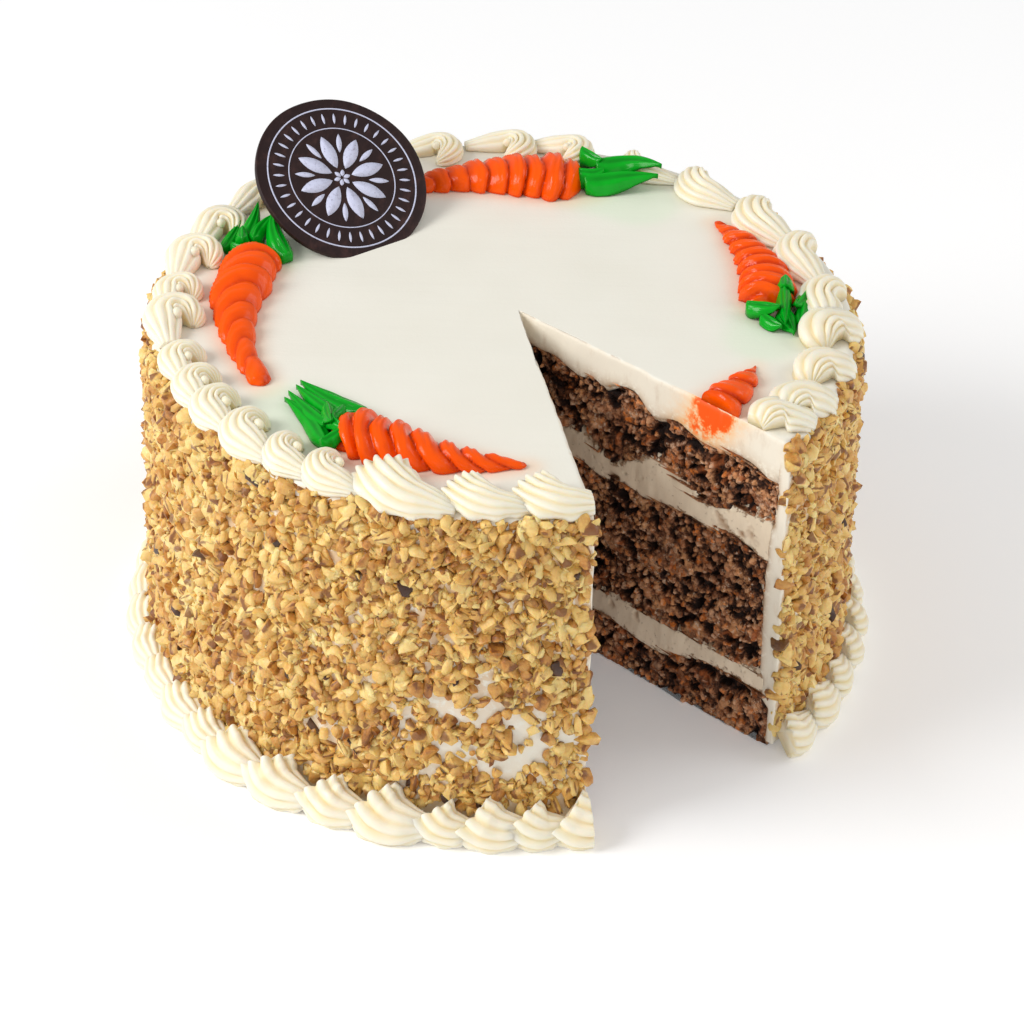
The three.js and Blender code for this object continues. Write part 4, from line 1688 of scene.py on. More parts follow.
@dataclass(frozen=True)
class WalnutCrust:
    """Chopped walnut pressed into the cream of the side, one piece for each kind of bit."""

    finish: Finish
    low: float = 7.0
    high: float = 107.4
    size: float = 2.4
    least_size: float = 0.66
    greatest_size: float = 1.55
    nearest: float = 1.68
    sink: float = 0.26
    skinned: float = 0.19
    sharp_angle: float = 58.0
    clear_turns: tuple[float, float] = (95.0, 250.0)
    clear_level: float = 104.0

    def bit(self, kind: BitKind) -> Object:
        """Breaks one bit: a hull round a few random corners.

        Args:
            kind: Its kind.

        Returns:
            An object of two or three dozen faces that only the tree uses.
        """
        length, width, height, corners, _ = kind.value
        draw = np.random.default_rng(100 + list(BitKind).index(kind))
        work = bmesh.new()
        ways = draw.normal(size=(corners, 3))
        ways /= np.linalg.norm(ways, axis=1)[:, None]
        spots = ways * draw.uniform(0.84, 1.1, (corners, 1)) * np.array([length, width, height])
        if kind is BitKind.CRESCENT:
            spots[:, 1] += 0.35 * spots[:, 0] ** 2
        for spot in spots:
            work.verts.new(Vector(spot * self.size * MM))
        bmesh.ops.convex_hull(work, input=work.verts)
        bmesh.ops.delete(work, geom=[v for v in work.verts if not v.link_faces], context="VERTS")
        bmesh.ops.recalc_face_normals(work, faces=work.faces)
        mesh = bpy.data.meshes.new(f"walnut_{kind.name.lower()}")
        work.to_mesh(mesh)
        work.free()
        skin = mesh.attributes.new("skin", "FLOAT", "POINT")
        brown = draw.random(len(mesh.vertices)) < self.skinned
        skin.data.foreach_set("value", brown.astype(np.float32))
        mesh.shade_smooth()
        mesh.set_sharp_from_angle(angle=math.radians(self.sharp_angle))
        return bpy.data.objects.new(mesh.name, mesh)

    def wall(self, material: Material) -> Mesh:
        """The part of the side that carries bits, with how thickly it is covered.

        Args:
            material: The bits' material.

        Returns:
            A mesh that only the trees use.
        """
        turns = GAP_IN_CAKE.turns(1.5)
        turns = np.clip(turns, turns[0] + 0.15, turns[-1] - 0.15)
        levels = np.linspace(self.low, self.high, 40)
        rounded = unit((levels - CAKE_HEIGHT + COAT_EDGE) / COAT_EDGE)
        radius = side_radius(levels) - COAT_EDGE * (1 - np.sqrt(1 - rounded**2))
        reach = np.stack([GAP_IN_CAKE.reach(turns, r) for r in radius])
        grid = np.empty((len(levels), len(turns), 3))
        grid[..., :2] = GAP_IN_CAKE.point(turns, reach)
        grid[..., 2] = levels[:, None]
        bare = BARE_PATCH.strength(turns[None, :], levels[:, None])
        patches = Unevenness(8).layered(grid * np.array([1.0, 1.0, 1.5]), 6.5, 3)
        thin = unit((patches + 0.02) * 5.0)
        spots = unit((Unevenness(9).layered(grid, 4.2, 2) - 0.32) * 6.0)
        cover = np.clip(1.0 - 0.9 * bare**0.5 * thin - 0.85 * spots, 0.03, 1)
        first, last = self.clear_turns
        behind = (turns[None, :] > first) & (turns[None, :] < last) & (levels[:, None] > self.clear_level)
        made = Draft()
        made.add_grid(grid, cover=np.where(behind, 0.0, cover))
        return made.loose_mesh("walnut_wall", material)

    def scatter(self, kind: BitKind, wall: Mesh, material: Material) -> Object:
        """Presses one kind of bit into the side.

        Args:
            kind: The kind.
            wall: Where the bits go.
            material: Their material.

        Returns:
            The piece.
        """
        tree = GrowingTree(
            f"walnut_{kind.name.lower()}_crust",
            {
                "Density": ("NodeSocketFloat", kind.value[-1]),
                "Nearest": ("NodeSocketFloat", self.nearest * MM),
                "Least Size": ("NodeSocketFloat", self.least_size),
                "Greatest Size": ("NodeSocketFloat", self.greatest_size),
                "Stand": ("NodeSocketFloat", self.size * self.sink * MM),
                "Seed": ("NodeSocketInt", 20 + list(BitKind).index(kind)),
            },
        )
        graph = tree.graph
        settings = {"data_type": "FLOAT"}
        cover = graph.node("GeometryNodeInputNamedAttribute", settings, {"Name": "cover"}).outputs[0]
        points = graph.node(
            "GeometryNodeDistributePointsOnFaces",
            {"distribute_method": "POISSON"},
            {
                "Mesh": tree.start.outputs["Geometry"],
                "Distance Min": tree.number("Nearest"),
                "Density Max": tree.number("Density"),
                "Density Factor": cover,
                "Seed": tree.number("Seed"),
            },
        )
        lift = graph.node(
            "ShaderNodeVectorMath",
            {"operation": "SCALE"},
            {0: points.outputs["Normal"], "Scale": tree.number("Stand") * tree.random(-1.0, 1.6, 3)},
        ).outputs[0]
        placed = graph.node(
            "GeometryNodeSetPosition", None, {"Geometry": points.outputs["Points"], "Offset": lift}
        ).outputs[0]
        toned = graph.node(
            "GeometryNodeStoreNamedAttribute",
            {"data_type": "FLOAT", "domain": "POINT"},
            {"Geometry": placed, "Name": "tone", "Value": tree.random(0.0, 1.0, 5)},
        ).outputs[0]
        turn = graph.node(
            "FunctionNodeRandomValue",
            {"data_type": "FLOAT_VECTOR"},
            {0: (0.0, 0.0, 0.0), 1: (math.tau, math.tau, math.tau), "Seed": 9},
        ).outputs[0]
        spread = tree.random(0.0, 1.0, 7)
        least, greatest = tree.number("Least Size"), tree.number("Greatest Size")
        size = least + spread * spread * (greatest - least)
        bit = graph.node("GeometryNodeObjectInfo", None, {"Object": self.bit(kind)}).outputs["Geometry"]
        bits = graph.node(
            "GeometryNodeInstanceOnPoints",
            None,
            {"Points": toned, "Instance": bit, "Rotation": turn, "Scale": size},
        ).outputs[0]
        tree.finish(bits, material)
        return tree.run(wall.copy(), f"walnut_{kind.name.lower()}s")

    def build(self) -> None:
        """Makes and settles every kind."""
        material = self.finish.material()
        wall = self.wall(material)
        for kind in BitKind:
            settle(self.scatter(kind, wall, material), "nuts", "icing_coat")


# --- piped borders
@dataclass(frozen=True)
class ShellMood:
    """How one shell was piped, from a nest curled round a nub (0) to a crown of teeth (1)."""

    openness: float
    turn: float
    lead: float
    ridges: int
    terrace: float = 0.4
    flute: float = 0.2
    size: float = 1.0
    girth: float = 1.0
    shift: float = 0.0
    stretch: float = 1.0


@dataclass(frozen=True)
class ShellForm:
    """One piped shell: it starts across the border and swirls round to run along it."""

    length: float
    half_width: float
    height: float
    teeth: float
    under: float
    tuck: float = 8.0
    bend: float = 0.56
    nub: float = 1.25
    nub_turn: float = 150.0
    rows: int = 36
    per_ridge: int = 7

    def line(self, mood: ShellMood, turn: float) -> tuple[Array, Array]:
        """The middle line.

        Args:
            mood: How it was piped.
            turn: How far it swirls round, in degrees.

        Returns:
            Places at fine steps and the heading at each, in radians.
        """
        share = np.linspace(0, 1, 121)
        curl = turn * np.clip(1 - share / self.bend, 0, None) ** 0.95
        heading = np.radians(mood.lead + self.tuck * share - curl)
        step = self.length * mood.stretch / (len(share) - 1)
        moves = np.stack([np.cos(heading), np.sin(heading)], axis=-1) * step
        places = np.concatenate([[[0.0, 0.0]], np.cumsum(moves[:-1], axis=0)])
        places[:, 1] -= (places[:, 1].max() + places[:, 1].min()) / 2 - 0.5
        return places, heading

    def draft(self, mood: ShellMood, seed: int) -> Draft:
        """Builds the shell in its own frame: X along the border, Y inwards, Z away from it.

        Args:
            mood: How it was piped.
            seed: Seed of its unevenness.

        Returns:
            A closed shape.
        """
        draw = np.random.default_rng(seed)
        noise = Unevenness(seed)
        openness, ridges = mood.openness, mood.ridges
        nest = 1 - openness
        places, heading = self.line(mood, mood.turn + draw.uniform(-8, 8))
        share = np.concatenate([[0.0, 0.006, 0.014, 0.026, 0.04], np.linspace(0.06, 1, self.rows)])
        sides = ridges * self.per_ridge + 1
        v = np.linspace(0, 1, sides)[None, :]
        closed = ((0, 0.12), (0.02, 0.32), (0.06, 0.54), (0.16, 0.80), (0.36, 1.0), (0.62, 0.90), (1, 0.45))
        opened = ((0, 1.02), (0.08, 1.08), (0.2, 1.1), (0.36, 1.02), (0.65, 0.74), (1, 0.34))
        width = (eased(closed, share) * nest + eased(opened, share) * openness * 1.12)[:, None] * mood.girth
        low = ((0, 0.06), (0.02, 0.32), (0.06, 0.58), (0.14, 0.86), (0.3, 1.0), (0.6, 0.82), (1, 0.26))
        tall = ((0, 0.84), (0.06, 0.95), (0.2, 1.0), (0.6, 0.74), (1, 0.24))
        height = (eased(low, share) * nest + eased(tall, share) * openness)[:, None]
        curled = nest * unit((self.bend - share) / 0.15 + 0.3)[:, None]
        angle = np.radians(-self.under + (180 + 2 * self.under) * v ** (1 - 0.28 * nest))
        slip = 0.35 * np.sin(2.2 * share[:, None] + draw.uniform(0, 6))
        within = (ridges * v + slip * 0.3) % 1.0
        round_top = np.sin(np.pi * within) ** 0.62
        stepped = unit(within / 0.8) ** 0.7 * unit((1 - within) / 0.2) ** 0.6
        ridge = round_top * (1 - mood.terrace) + stepped * mood.terrace
        head = unit(1 - share / 0.2)[:, None]
        flute = mood.flute * (1 - 0.35 * share[:, None] + 0.1 * openness * head**2)
        wave = 0.06 * noise.smooth(np.stack(np.broadcast_arrays(share[:, None] * 5, v * 4, 0.0), -1), 1.0)
        fringe = 0.10 * openness * unit((v - 0.84) / 0.16) * np.sin(26 * share[:, None] + seed)
        swell = 1 - flute * (1 - ridge) + wave + fringe + 0.12 * openness * head**3 * (round_top - 0.3)
        reach = np.repeat(draw.uniform(0.6, 1.25, ridges + 1), self.per_ridge)[:sides][None, :]
        mouth = unit(1 - share / 0.16)[:, None] ** 1.2
        back = self.teeth * (round_top - 0.2) * openness * reach * mouth
        last = len(places) - 1
        at = np.clip(np.round(share * last).astype(int), 0, last)
        spot, way = places[at][:, None], heading[at][:, None]
        flat = np.cos(angle)
        inner = 1 - 0.42 * curled
        inside = flat * math.copysign(1.0, mood.turn) > 0
        across = self.half_width * width * np.where(inside, inner, 1.0) * flat * swell
        rise = np.maximum(np.sin(angle), 1e-4)
        steep = np.where(inside, 0.9 - 0.55 * curled, 0.85)
        dome = np.where(np.sin(angle) > 0, rise**steep, np.sin(angle))
        up = self.height * height * dome * swell + back * 0.75
        x = spot[..., 0] - back * np.cos(way) - across * np.sin(way)
        y = spot[..., 1] - back * np.sin(way) + across * np.cos(way)
        grid = np.stack([x, y, up], axis=-1)
        length = np.broadcast_to(share[:, None] * self.length, up.shape)
        run = np.stack([length, np.broadcast_to(v * 22.0, up.shape), np.zeros_like(up)], axis=-1)
        # Painted warm shade in the grooves between the ridges, strongest towards the head.
        groove = (1 - ridge) * np.clip(1.25 - share, 0.35, 1)[:, None]
        made = Draft()
        numbers = made.add_grid(grid, wrap=True, groove=groove, run=run)
        self._close_mouth(made, numbers[0], grid, openness)
        # The tail's closing fan gets a little painted shade.
        made.add_fan(numbers[-1], grid[-1].mean(axis=0), groove=0.2, run=run[-1, :1])
        if mood.turn > self.nub_turn:
            self._add_nub(made, places, heading, mood)
        return made

    def _add_nub(self, made: Draft, places: Array, heading: Array, mood: ShellMood) -> None:
        """Sets the small bulb that a nest curls round.

        Args:
            made: The shell in the making.
            places: Its middle line.
            heading: The line's heading at each place.
            mood: How it was piped.
        """
        turning = self.length * self.bend / math.radians(mood.turn)
        at = len(places) // 4
        spot = places[at] + turning * np.array([-math.sin(heading[at]), math.cos(heading[at])])
        polar = np.linspace(0.02, np.pi - 0.02, 9)[:, None]
        turn = np.linspace(0, 2 * np.pi, 15)[None, :-1]
        sides = (np.sin(polar) * np.cos(turn), np.sin(polar) * np.sin(turn), np.cos(polar))
        ball = np.stack(np.broadcast_arrays(*sides), -1)
        centre = np.array([spot[0] + 0.4, spot[1] - 0.2, self.height * 0.62])
        bulb = ball * np.array([1.15, 1.0, 1.2]) * self.nub + centre
        # The nub gets a little painted shade.
        rows = made.add_grid(bulb, wrap=True, groove=0.25, run=np.zeros_like(ball))
        for row, end in ((0, 1.0), (-1, -1.0)):
            pole = centre + np.array([0, 0, 1.2 * end * self.nub])
            made.add_fan(rows[row], pole, groove=0.3, run=NO_RUN)

    @staticmethod
    def _close_mouth(made: Draft, rim: Array, grid: Array, openness: float) -> None:
        """Closes the head with a dimple behind its rim.

        Args:
            made: The shell in the making.
            rim: Numbers of the rim's points.
            grid: All points of the shell by row.
            openness: How open the head is.
        """
        middle = grid[0].mean(axis=0)
        deeper = grid[4].mean(axis=0)
        sunk = middle + (deeper - middle) * (0.3 + 0.5 * openness)
        inner = grid[0] * 0.45 + sunk * 0.55
        # The dimple gets a little painted shade, a little more at its middle.
        first = made.add_points(inner[None], groove=0.15, run=np.zeros((1, len(rim), 3)))
        ring = first + np.arange(len(rim))
        pairs = itertools.pairwise(zip(np.append(rim, rim[0]), np.append(ring, ring[0]), strict=True))
        made.faces.extend([[int(a), int(b), int(d), int(c)] for (a, b), (c, d) in pairs])
        made.add_fan(ring, sunk, groove=0.25, run=NO_RUN)


@dataclass(frozen=True)
class PipedBorder:
    """A ring of shells, each a little different, cut where the slice is missing."""

    node: str
    places: tuple[float, ...]
    radius: float
    level: float
    tilt: float
    shell: ShellForm
    pitch: float
    moods: tuple[tuple[float, ShellMood], ...]
    finish: Finish
    uneven: float = 0.06
    over_rim: bool = False
    seed: int = 5

    def mood(self, azimuth: float) -> ShellMood:
        """How the shell at an azimuth was piped, between the listed ones.

        Args:
            azimuth: Its azimuth.

        Returns:
            Its mood.
        """
        places = [place for place, _ in self.moods]

        def blend(name: str) -> float:
            """One field between the listed moods."""
            return float(np.interp(azimuth, places, [getattr(mood, name) for _, mood in self.moods]))

        ridges = round(blend("ridges"))
        rest = (blend(name) for name in ("terrace", "flute", "size", "girth", "shift", "stretch"))
        return ShellMood(blend("openness"), blend("turn"), blend("lead"), ridges, *rest)

    def sizes(self) -> Array:
        """How large each shell is: as large as the room to the next one, a little uneven.

        Returns:
            A factor for each.
        """
        room = np.diff(self.places, append=self.places[-1] + self.pitch)
        draw = np.random.default_rng(self.seed)
        fill = 0.45 + 0.55 * np.clip(room / self.pitch, 0.7, 1.35)
        return fill * (1 + self.uneven * draw.uniform(-1, 1, len(room)))

    def placed(self, draft: Draft, azimuth: float, size: float, shift: float) -> Draft:
        """Sets a shell on the cake.

        Args:
            draft: The shell in its own frame.
            azimuth: Where it goes.
            size: Its factor.
            shift: How far out of the border's line it is.

        Returns:
            The same shell in place.
        """
        a, t = math.radians(azimuth), math.radians(self.tilt)
        along = np.array([math.cos(a), math.sin(a), 0.0])
        inward = np.array([-math.sin(a) * math.cos(t), math.cos(a) * math.cos(t), math.sin(t)])
        away = np.array([math.sin(a) * math.sin(t), -math.cos(a) * math.sin(t), math.cos(t)])
        spot = np.array([*around(azimuth, self.radius + shift), self.level])
        settled = self.drape if self.over_rim else self.lean_on
        draft.points = [settled(spot + size * (p @ np.stack([along, inward, away]))) for p in draft.points]
        return draft

    @staticmethod
    def drape(points: Array) -> Array:
        """Lets what hangs past the rim follow it down.

        Args:
            points: Places.

        Returns:
            The places bent over the rim.
        """
        made = points.copy()
        away = np.hypot(points[:, 0], points[:, 1])
        past = np.clip(away - (COAT_RADIUS - COAT_EDGE), 0, None)
        high = np.clip(points[:, 2] - CAKE_HEIGHT, 0, None)
        bend = np.clip(past / (COAT_EDGE + 0.45 * high + 0.8), 0, math.pi / 2)
        reach = COAT_RADIUS - COAT_EDGE + (COAT_EDGE + high) * np.sin(bend)
        level = CAKE_HEIGHT - COAT_EDGE + (COAT_EDGE + high) * np.cos(bend)
        over = past > 0
        made[over, :2] *= (reach / away)[over, None]
        made[over, 2] = level[over]
        return made

    @staticmethod
    def lean_on(points: Array) -> Array:
        """Keeps a foot shell out of the side and above the floor.

        Args:
            points: Places.

        Returns:
            The places pushed clear.
        """
        made = points.copy()
        away = np.hypot(points[:, 0], points[:, 1])
        least = side_radius(np.clip(points[:, 2], 0, None)) - 0.6
        factor = np.maximum(least / away, 1.0)
        made[:, :2] *= factor[:, None]
        made[:, 2] = np.maximum(made[:, 2], 0.0)
        return made

    def build(self) -> None:
        """Makes and settles the border."""
        shells = []
        for number, (place, size) in enumerate(zip(self.places, self.sizes(), strict=True)):
            azimuth = (place + 180) % 360 - 180
            mood = self.mood(azimuth)
            shell = self.shell.draft(mood, 300 + number)
            cut = GAP_IN_CAKE.trim(self.placed(shell, azimuth, size * mood.size, mood.shift))
            if cut is not None:
                shells.append(cut)
        settle(joined(shells).object(f"{self.node}_piped", self.finish.material()), "piping", self.node)


# --- chocolate plaque
class PrintedMark(Enum):
    """Marks of the print: count, turn of the first in degrees, start from the middle, length and width."""

    DASH = (36, 0.0, 18.4, 3.6, 0.8)
    PETAL = (8, 0.0, 3.4, 11.2, 4.3)
    LEAFLET = (8, 22.5, 8.6, 6.4, 1.7)
    HEART = (6, 0.0, 0.5, 2.3, 1.3)


@dataclass(frozen=True)
class Plaque:
    """A thin chocolate disc with a generic printed rosette, leaning in the icing."""

    chocolate: Finish
    ink: Finish
    radius: float = 27.2
    thickness: float = 2.0
    centre: Point = (-50.6, 55.0, 122.0)
    lean: float = 55.0
    turn: float = 35.0
    rounding: float = 0.55
    sides: int = 128
    print_stand: float = 0.12
    print_sink: float = 0.05
    rings: Course = ((23.6, 0.42), (16.9, 0.3))

    def matrix(self) -> Matrix:
        """Where the disc lies: its own Z is the front.

        Returns:
            The matrix from the disc's millimetres to metres.
        """
        axis = cake_axis()
        place = Vector((self.centre[0] + axis[0], self.centre[1] + axis[1], self.centre[2])) * MM
        to_front = Matrix.Rotation(math.radians(90), 4, "X")
        leaning = Matrix.Rotation(math.radians(-self.lean), 4, "X")
        turned = Matrix.Rotation(math.radians(self.turn), 4, "Z")
        return Matrix.Translation(place) @ turned @ leaning @ to_front @ Matrix.Scale(MM, 4)

    def disc(self) -> Draft:
        """Builds the disc with a softened rim.

        Returns:
            A closed shape in its own frame.
        """
        bend = np.linspace(0, np.pi / 2, 6)
        half = self.thickness / 2
        inner = self.radius - self.rounding
        rim_r = np.concatenate([inner + self.rounding * np.sin(bend), inner + self.rounding * np.cos(bend)])
        fall, climb = self.rounding * (1 - np.cos(bend)), self.rounding * (1 - np.sin(bend))
        rim_z = np.concatenate([half - fall, -half + climb])
        radii = np.concatenate([np.linspace(2, inner - 1, 10), rim_r, np.linspace(inner - 1, 2, 10)])
        levels = np.concatenate([np.full(10, half), rim_z, np.full(10, -half)])
        angle = np.linspace(0, 2 * np.pi, self.sides, endpoint=False)
        uneven = 1 + 0.004 * np.sin(3 * angle + 1) + 0.003 * np.sin(7 * angle)
        grid = np.empty((len(radii), self.sides, 3))
        grid[..., 0] = radii[:, None] * np.cos(angle) * uneven
        grid[..., 1] = radii[:, None] * np.sin(angle) * uneven
        grid[..., 2] = levels[:, None]
        made = Draft()
        numbers = made.add_grid(grid, wrap=True)
        made.add_fan(numbers[0], np.array([0, 0, half]))
        made.add_fan(numbers[-1], np.array([0, 0, -half]))
        return made

    def print_levels(self) -> tuple[float, float]:
        """Levels of the print's hidden back and of its face."""
        return self.thickness / 2 - self.print_sink, self.thickness / 2 + self.print_stand

    def flat_shape(self, outline: Array) -> Draft:
        """Raises a flat outline a hair above the disc.

        Args:
            outline: Corners as x and y, all the way round.

        Returns:
            A thin closed shape.
        """
        low, high = self.print_levels()
        rings = np.stack([np.column_stack([outline, np.full(len(outline), z)]) for z in (low, high)])
        made = Draft()
        numbers = made.add_grid(rings, wrap=True)
        middle = outline.mean(axis=0)
        made.add_fan(numbers[0], np.array([*middle, low]))
        made.add_fan(numbers[1], np.array([*middle, high]))
        return made

    def ring(self, radius: float, width: float) -> Draft:
        """Prints a thin plain ring.

        Args:
            radius: Its middle radius.
            width: Its width.

        Returns:
            A closed shape.
        """
        angle = np.linspace(0, 2 * np.pi, 160, endpoint=False)
        x, y, level = np.cos(angle), np.sin(angle), np.ones_like(angle)
        low, high = self.print_levels()
        inner, outer = radius - width / 2, radius + width / 2
        corners = ((inner, low), (outer, low), (outer, high), (inner, high))
        grid = np.stack([np.stack([r * x, r * y, z * level], -1) for r, z in corners])
        made = Draft()
        made.add_grid(np.concatenate([grid, grid[:1]]), wrap=True)
        return made

    def petal(self, start: float, length: float, width: float) -> Draft:
        """Draws a pointed oval that points away from the middle.

        Args:
            start: Where it starts, from the middle.
            length: Its length.
            width: Its widest.

        Returns:
            A closed shape.
        """
        share = np.linspace(0, 1, 13)
        half = width / 2 * np.sin(np.pi * share) ** 0.8
        x = start + length * share
        outline = np.concatenate([np.column_stack([x, half]), np.column_stack([x, -half])[-2:0:-1]])
        return self.flat_shape(outline)

    def printed(self, mark: PrintedMark, material: Material) -> Object:
        """Repeats one mark round the disc.

        Args:
            mark: The mark and how it is repeated.
            material: The print's material.

        Returns:
            The marks as one piece, in the disc's own frame.
        """
        name = f"plaque_print_{mark.name.lower()}"
        count, turn, start, length, width = mark.value
        inputs = {"Count": ("NodeSocketInt", count), "Turn": ("NodeSocketFloat", math.radians(turn))}
        tree = GrowingTree(name, inputs)
        graph = tree.graph
        points = graph.node("GeometryNodePoints", None, {"Count": tree.number("Count")}).outputs[0]
        index = Value(graph, graph.node("GeometryNodeInputIndex").outputs[0])
        angle = index * math.tau / tree.number("Count") + tree.number("Turn")
        rotation = graph.node("ShaderNodeCombineXYZ", None, {"Z": angle}).outputs[0]
        marks = graph.node(
            "GeometryNodeInstanceOnPoints",
            None,
            {"Points": points, "Instance": tree.start.outputs["Geometry"], "Rotation": rotation},
        ).outputs[0]
        tree.finish(marks, material)
        shape = self.petal(start, length, width)
        shape.points = [p / MM for p in shape.points]
        return tree.run(shape.loose_mesh(name, material, own_frame=True), name)

    def build(self) -> None:
        """Makes and settles the disc and its print."""
        matrix = self.matrix()
        ink = self.ink.material()
        rings = joined([self.ring(*ring) for ring in self.rings])
        pieces = []
        for name, draft, material, slot in (
            ("plaque_disc", self.disc(), self.chocolate.material(), "chocolate"),
            ("plaque_print_rings", rings, ink, "print"),
        ):
            draft.points = [p / MM for p in draft.points]
            pieces.append((draft.object(name, material, own_frame=True), slot))
        pieces += [(self.printed(mark, ink), "print") for mark in PrintedMark]
        for piece, slot in pieces:
            piece.data.transform(matrix)
            settle(piece, slot, "plaque")


# --- studio
@dataclass(frozen=True)
class Lamp:
    """A soft square light: where it hangs and its side in metres, and its power in watts."""

    name: str
    place: Point
    size: float
    power: float
    aim: Point = (0.0, 0.0, 0.05)

    def hang(self) -> None:
        """Adds the light."""
        data = bpy.data.lights.new(self.name, "AREA")
        data.shape = "SQUARE"
        data.size = self.size
        data.energy = self.power
        lamp = bpy.data.objects.new(self.name, data)
        bpy.context.scene.collection.objects.link(lamp)
        lamp.location = self.place
        way = Vector(self.aim) - Vector(self.place)
        lamp.rotation_euler = way.to_track_quat("-Z", "Y").to_euler()


@dataclass(frozen=True)
class Studio:
    """Floor, soft lights and camera."""

    floor: Finish
    distance: float = 1300.0
    elevation: float = 34.84
    target: Point = (3.72, 0.0, 38.8)
    roll: float = 1.40
    focal_pixels: float = 4275.0
    picture: float = 1024.0
    sensor: float = 36.0
    floor_side: float = 3.0
    ambient: float = 0.50
    lamps: tuple[Lamp, ...] = (
        Lamp("key", (-1.12, -0.34, 0.88), 0.7, 14.5),
        Lamp("front", (0.35, -1.5, 0.7), 1.2, 3.2),
        Lamp("side", (1.2, 0.2, 0.8), 0.8, 5.0),
    )

    def camera(self) -> None:
        """Sets the camera."""
        rise = math.radians(self.elevation)
        roll = math.radians(self.roll)
        back = Vector((0, -math.cos(rise), math.sin(rise)))
        right = Vector((1, 0, 0))
        up = back.cross(right)
        turned = math.cos(roll) * right + math.sin(roll) * up
        upright = -math.sin(roll) * right + math.cos(roll) * up
        data = bpy.data.cameras.new("camera")
        data.sensor_width = self.sensor
        data.lens = self.focal_pixels * self.sensor / self.picture
        data.clip_end = 10
        camera = bpy.data.objects.new("camera", data)
        bpy.context.scene.collection.objects.link(camera)
        place = Vector(self.target) + back * self.distance + Vector((*cake_axis(), 0))
        turn = Matrix((turned, upright, back)).transposed().to_4x4()
        camera.matrix_world = Matrix.Translation(place * MM) @ turn
        bpy.context.scene.camera = camera

    def build(self) -> None:
        """Makes the studio."""
        mesh = bpy.data.meshes.new("floor")
        side = self.floor_side
        corners = [(-side, -side, 0), (side, -side, 0), (side, side, 0), (-side, side, 0)]
        mesh.from_pydata(corners, [], [(0, 1, 2, 3)])
        mesh.materials.append(self.floor.material())
        floor = bpy.data.objects.new("floor", mesh)
        bpy.context.scene.collection.objects.link(floor)
        for lamp in self.lamps:
            lamp.hang()
        world = bpy.data.worlds.new("studio")
        world.use_nodes = True
        sky = world.node_tree.nodes["Background"].inputs
        sky["Color"].default_value = (*WHITE, 1.0)
        sky["Strength"].default_value = self.ambient
        bpy.context.scene.world = world
        bpy.context.scene.view_settings.view_transform = "Standard"
        self.camera()


# --- the cake
@dataclass(frozen=True)
class Palette:
    """Every finish of the cake."""

    piped: Finish = PipedCreamFinish(
        "piped_cream", (0.91, 0.85, 0.70), roughness=0.42, scatter=0.34,
        scatter_radius=(0.004, 0.003, 0.002),
    )
    icing: Finish = SpreadIcingFinish("spread_icing", (0.86, 0.835, 0.74), roughness=0.44)
    filling: Finish = CutCreamFinish("cream_filling", (0.89, 0.75, 0.565), roughness=0.5)
    sponge: Finish = CrumbFinish("sponge_crumb", (0.15, 0.066, 0.032), roughness=0.6, specular=0.2)
    walnut: Finish = WalnutFinish(
        "chopped_walnut", (0.80, 0.50, 0.145), roughness=0.38, scatter=0.3,
        scatter_radius=(0.003, 0.0015, 0.0005),
    )
    # In the coloured icings, deep is the painted shade in the grooves.
    orange: Finish = ColouredIcingFinish(
        "orange_icing", (1.0, 0.10, 0.0), roughness=0.17, specular=0.18, coat=0.05
    )
    green: Finish = ColouredIcingFinish(
        "green_icing", (0.0, 0.42, 0.014), roughness=0.17, specular=0.18, coat=0.05, deep=(0.0, 0.15, 0.006)
    )
    chocolate: Finish = ChocolateFinish(
        "dark_chocolate", (0.018, 0.006, 0.006), roughness=0.5, specular=0.25
    )
    ink: Finish = PrintFinish("pale_print", (0.62, 0.64, 0.82), roughness=0.5)
    floor: Finish = FloorFinish("pale_floor", (0.93, 0.93, 0.93), roughness=0.6)


def cake_layers(palette: Palette) -> tuple[CakeLayer, ...]:
    """Lists the layers from the floor up.

    Args:
        palette: The finishes.

    Returns:
        The layers.
    """
    lines = (
        LayerLine(0.0),
        LayerLine(16.0, ((40, 0), (60, -2.9), (75, 2.1), (100, 2))),
        LayerLine(24.3),
        LayerLine(64.0, (
            (20, 2), (25, 3.1), (34, 1.3), (38, 1.4), (42, 2.8), (50, 1.5), (57, 2.4), (65, 2.8), (69, 3.2),
            (72, 2.9), (76, 2), (84, 4.5), (90, 3), (95, 1.6),
        )),
        LayerLine(76.5, (
            (20, 0), (30, -0.7), (34, -3.5), (42, -3.7), (45, -1.2), (49, 1.3), (55, 3.9), (62, 3.3),
            (68, 1.4), (72, -2), (80, -0.8), (87, 0.9), (98, 2.8),
        )),
        LayerLine(98.0, (
            (17, 1), (25, -1.4), (30, 0.2), (32, -0.7), (40, 2.1), (48, 1.4), (52, -2), (63, -0.3),
            (67, -2), (71, -3), (77, -2.5), (93, -2.5), (97, -4.6),
        )),
    )
    sponge, cream = palette.sponge, palette.filling
    return (
        SpongeLayer("sponge_bottom", lines[0], lines[1], 102.3, sponge, "sponge", seed=11),
        CreamFilling("filling_lower", lines[1], lines[2], 99.6, cream, "filling", seed=12),
        SpongeLayer("sponge_middle", lines[2], lines[3], 98.2, sponge, "sponge", seed=13),
        CreamFilling("filling_upper", lines[3], lines[4], 99.0, cream, "filling", seed=14),
        SpongeLayer("sponge_top", lines[4], lines[5], 100.5, sponge, "sponge", seed=15, stained=0.16),
    )


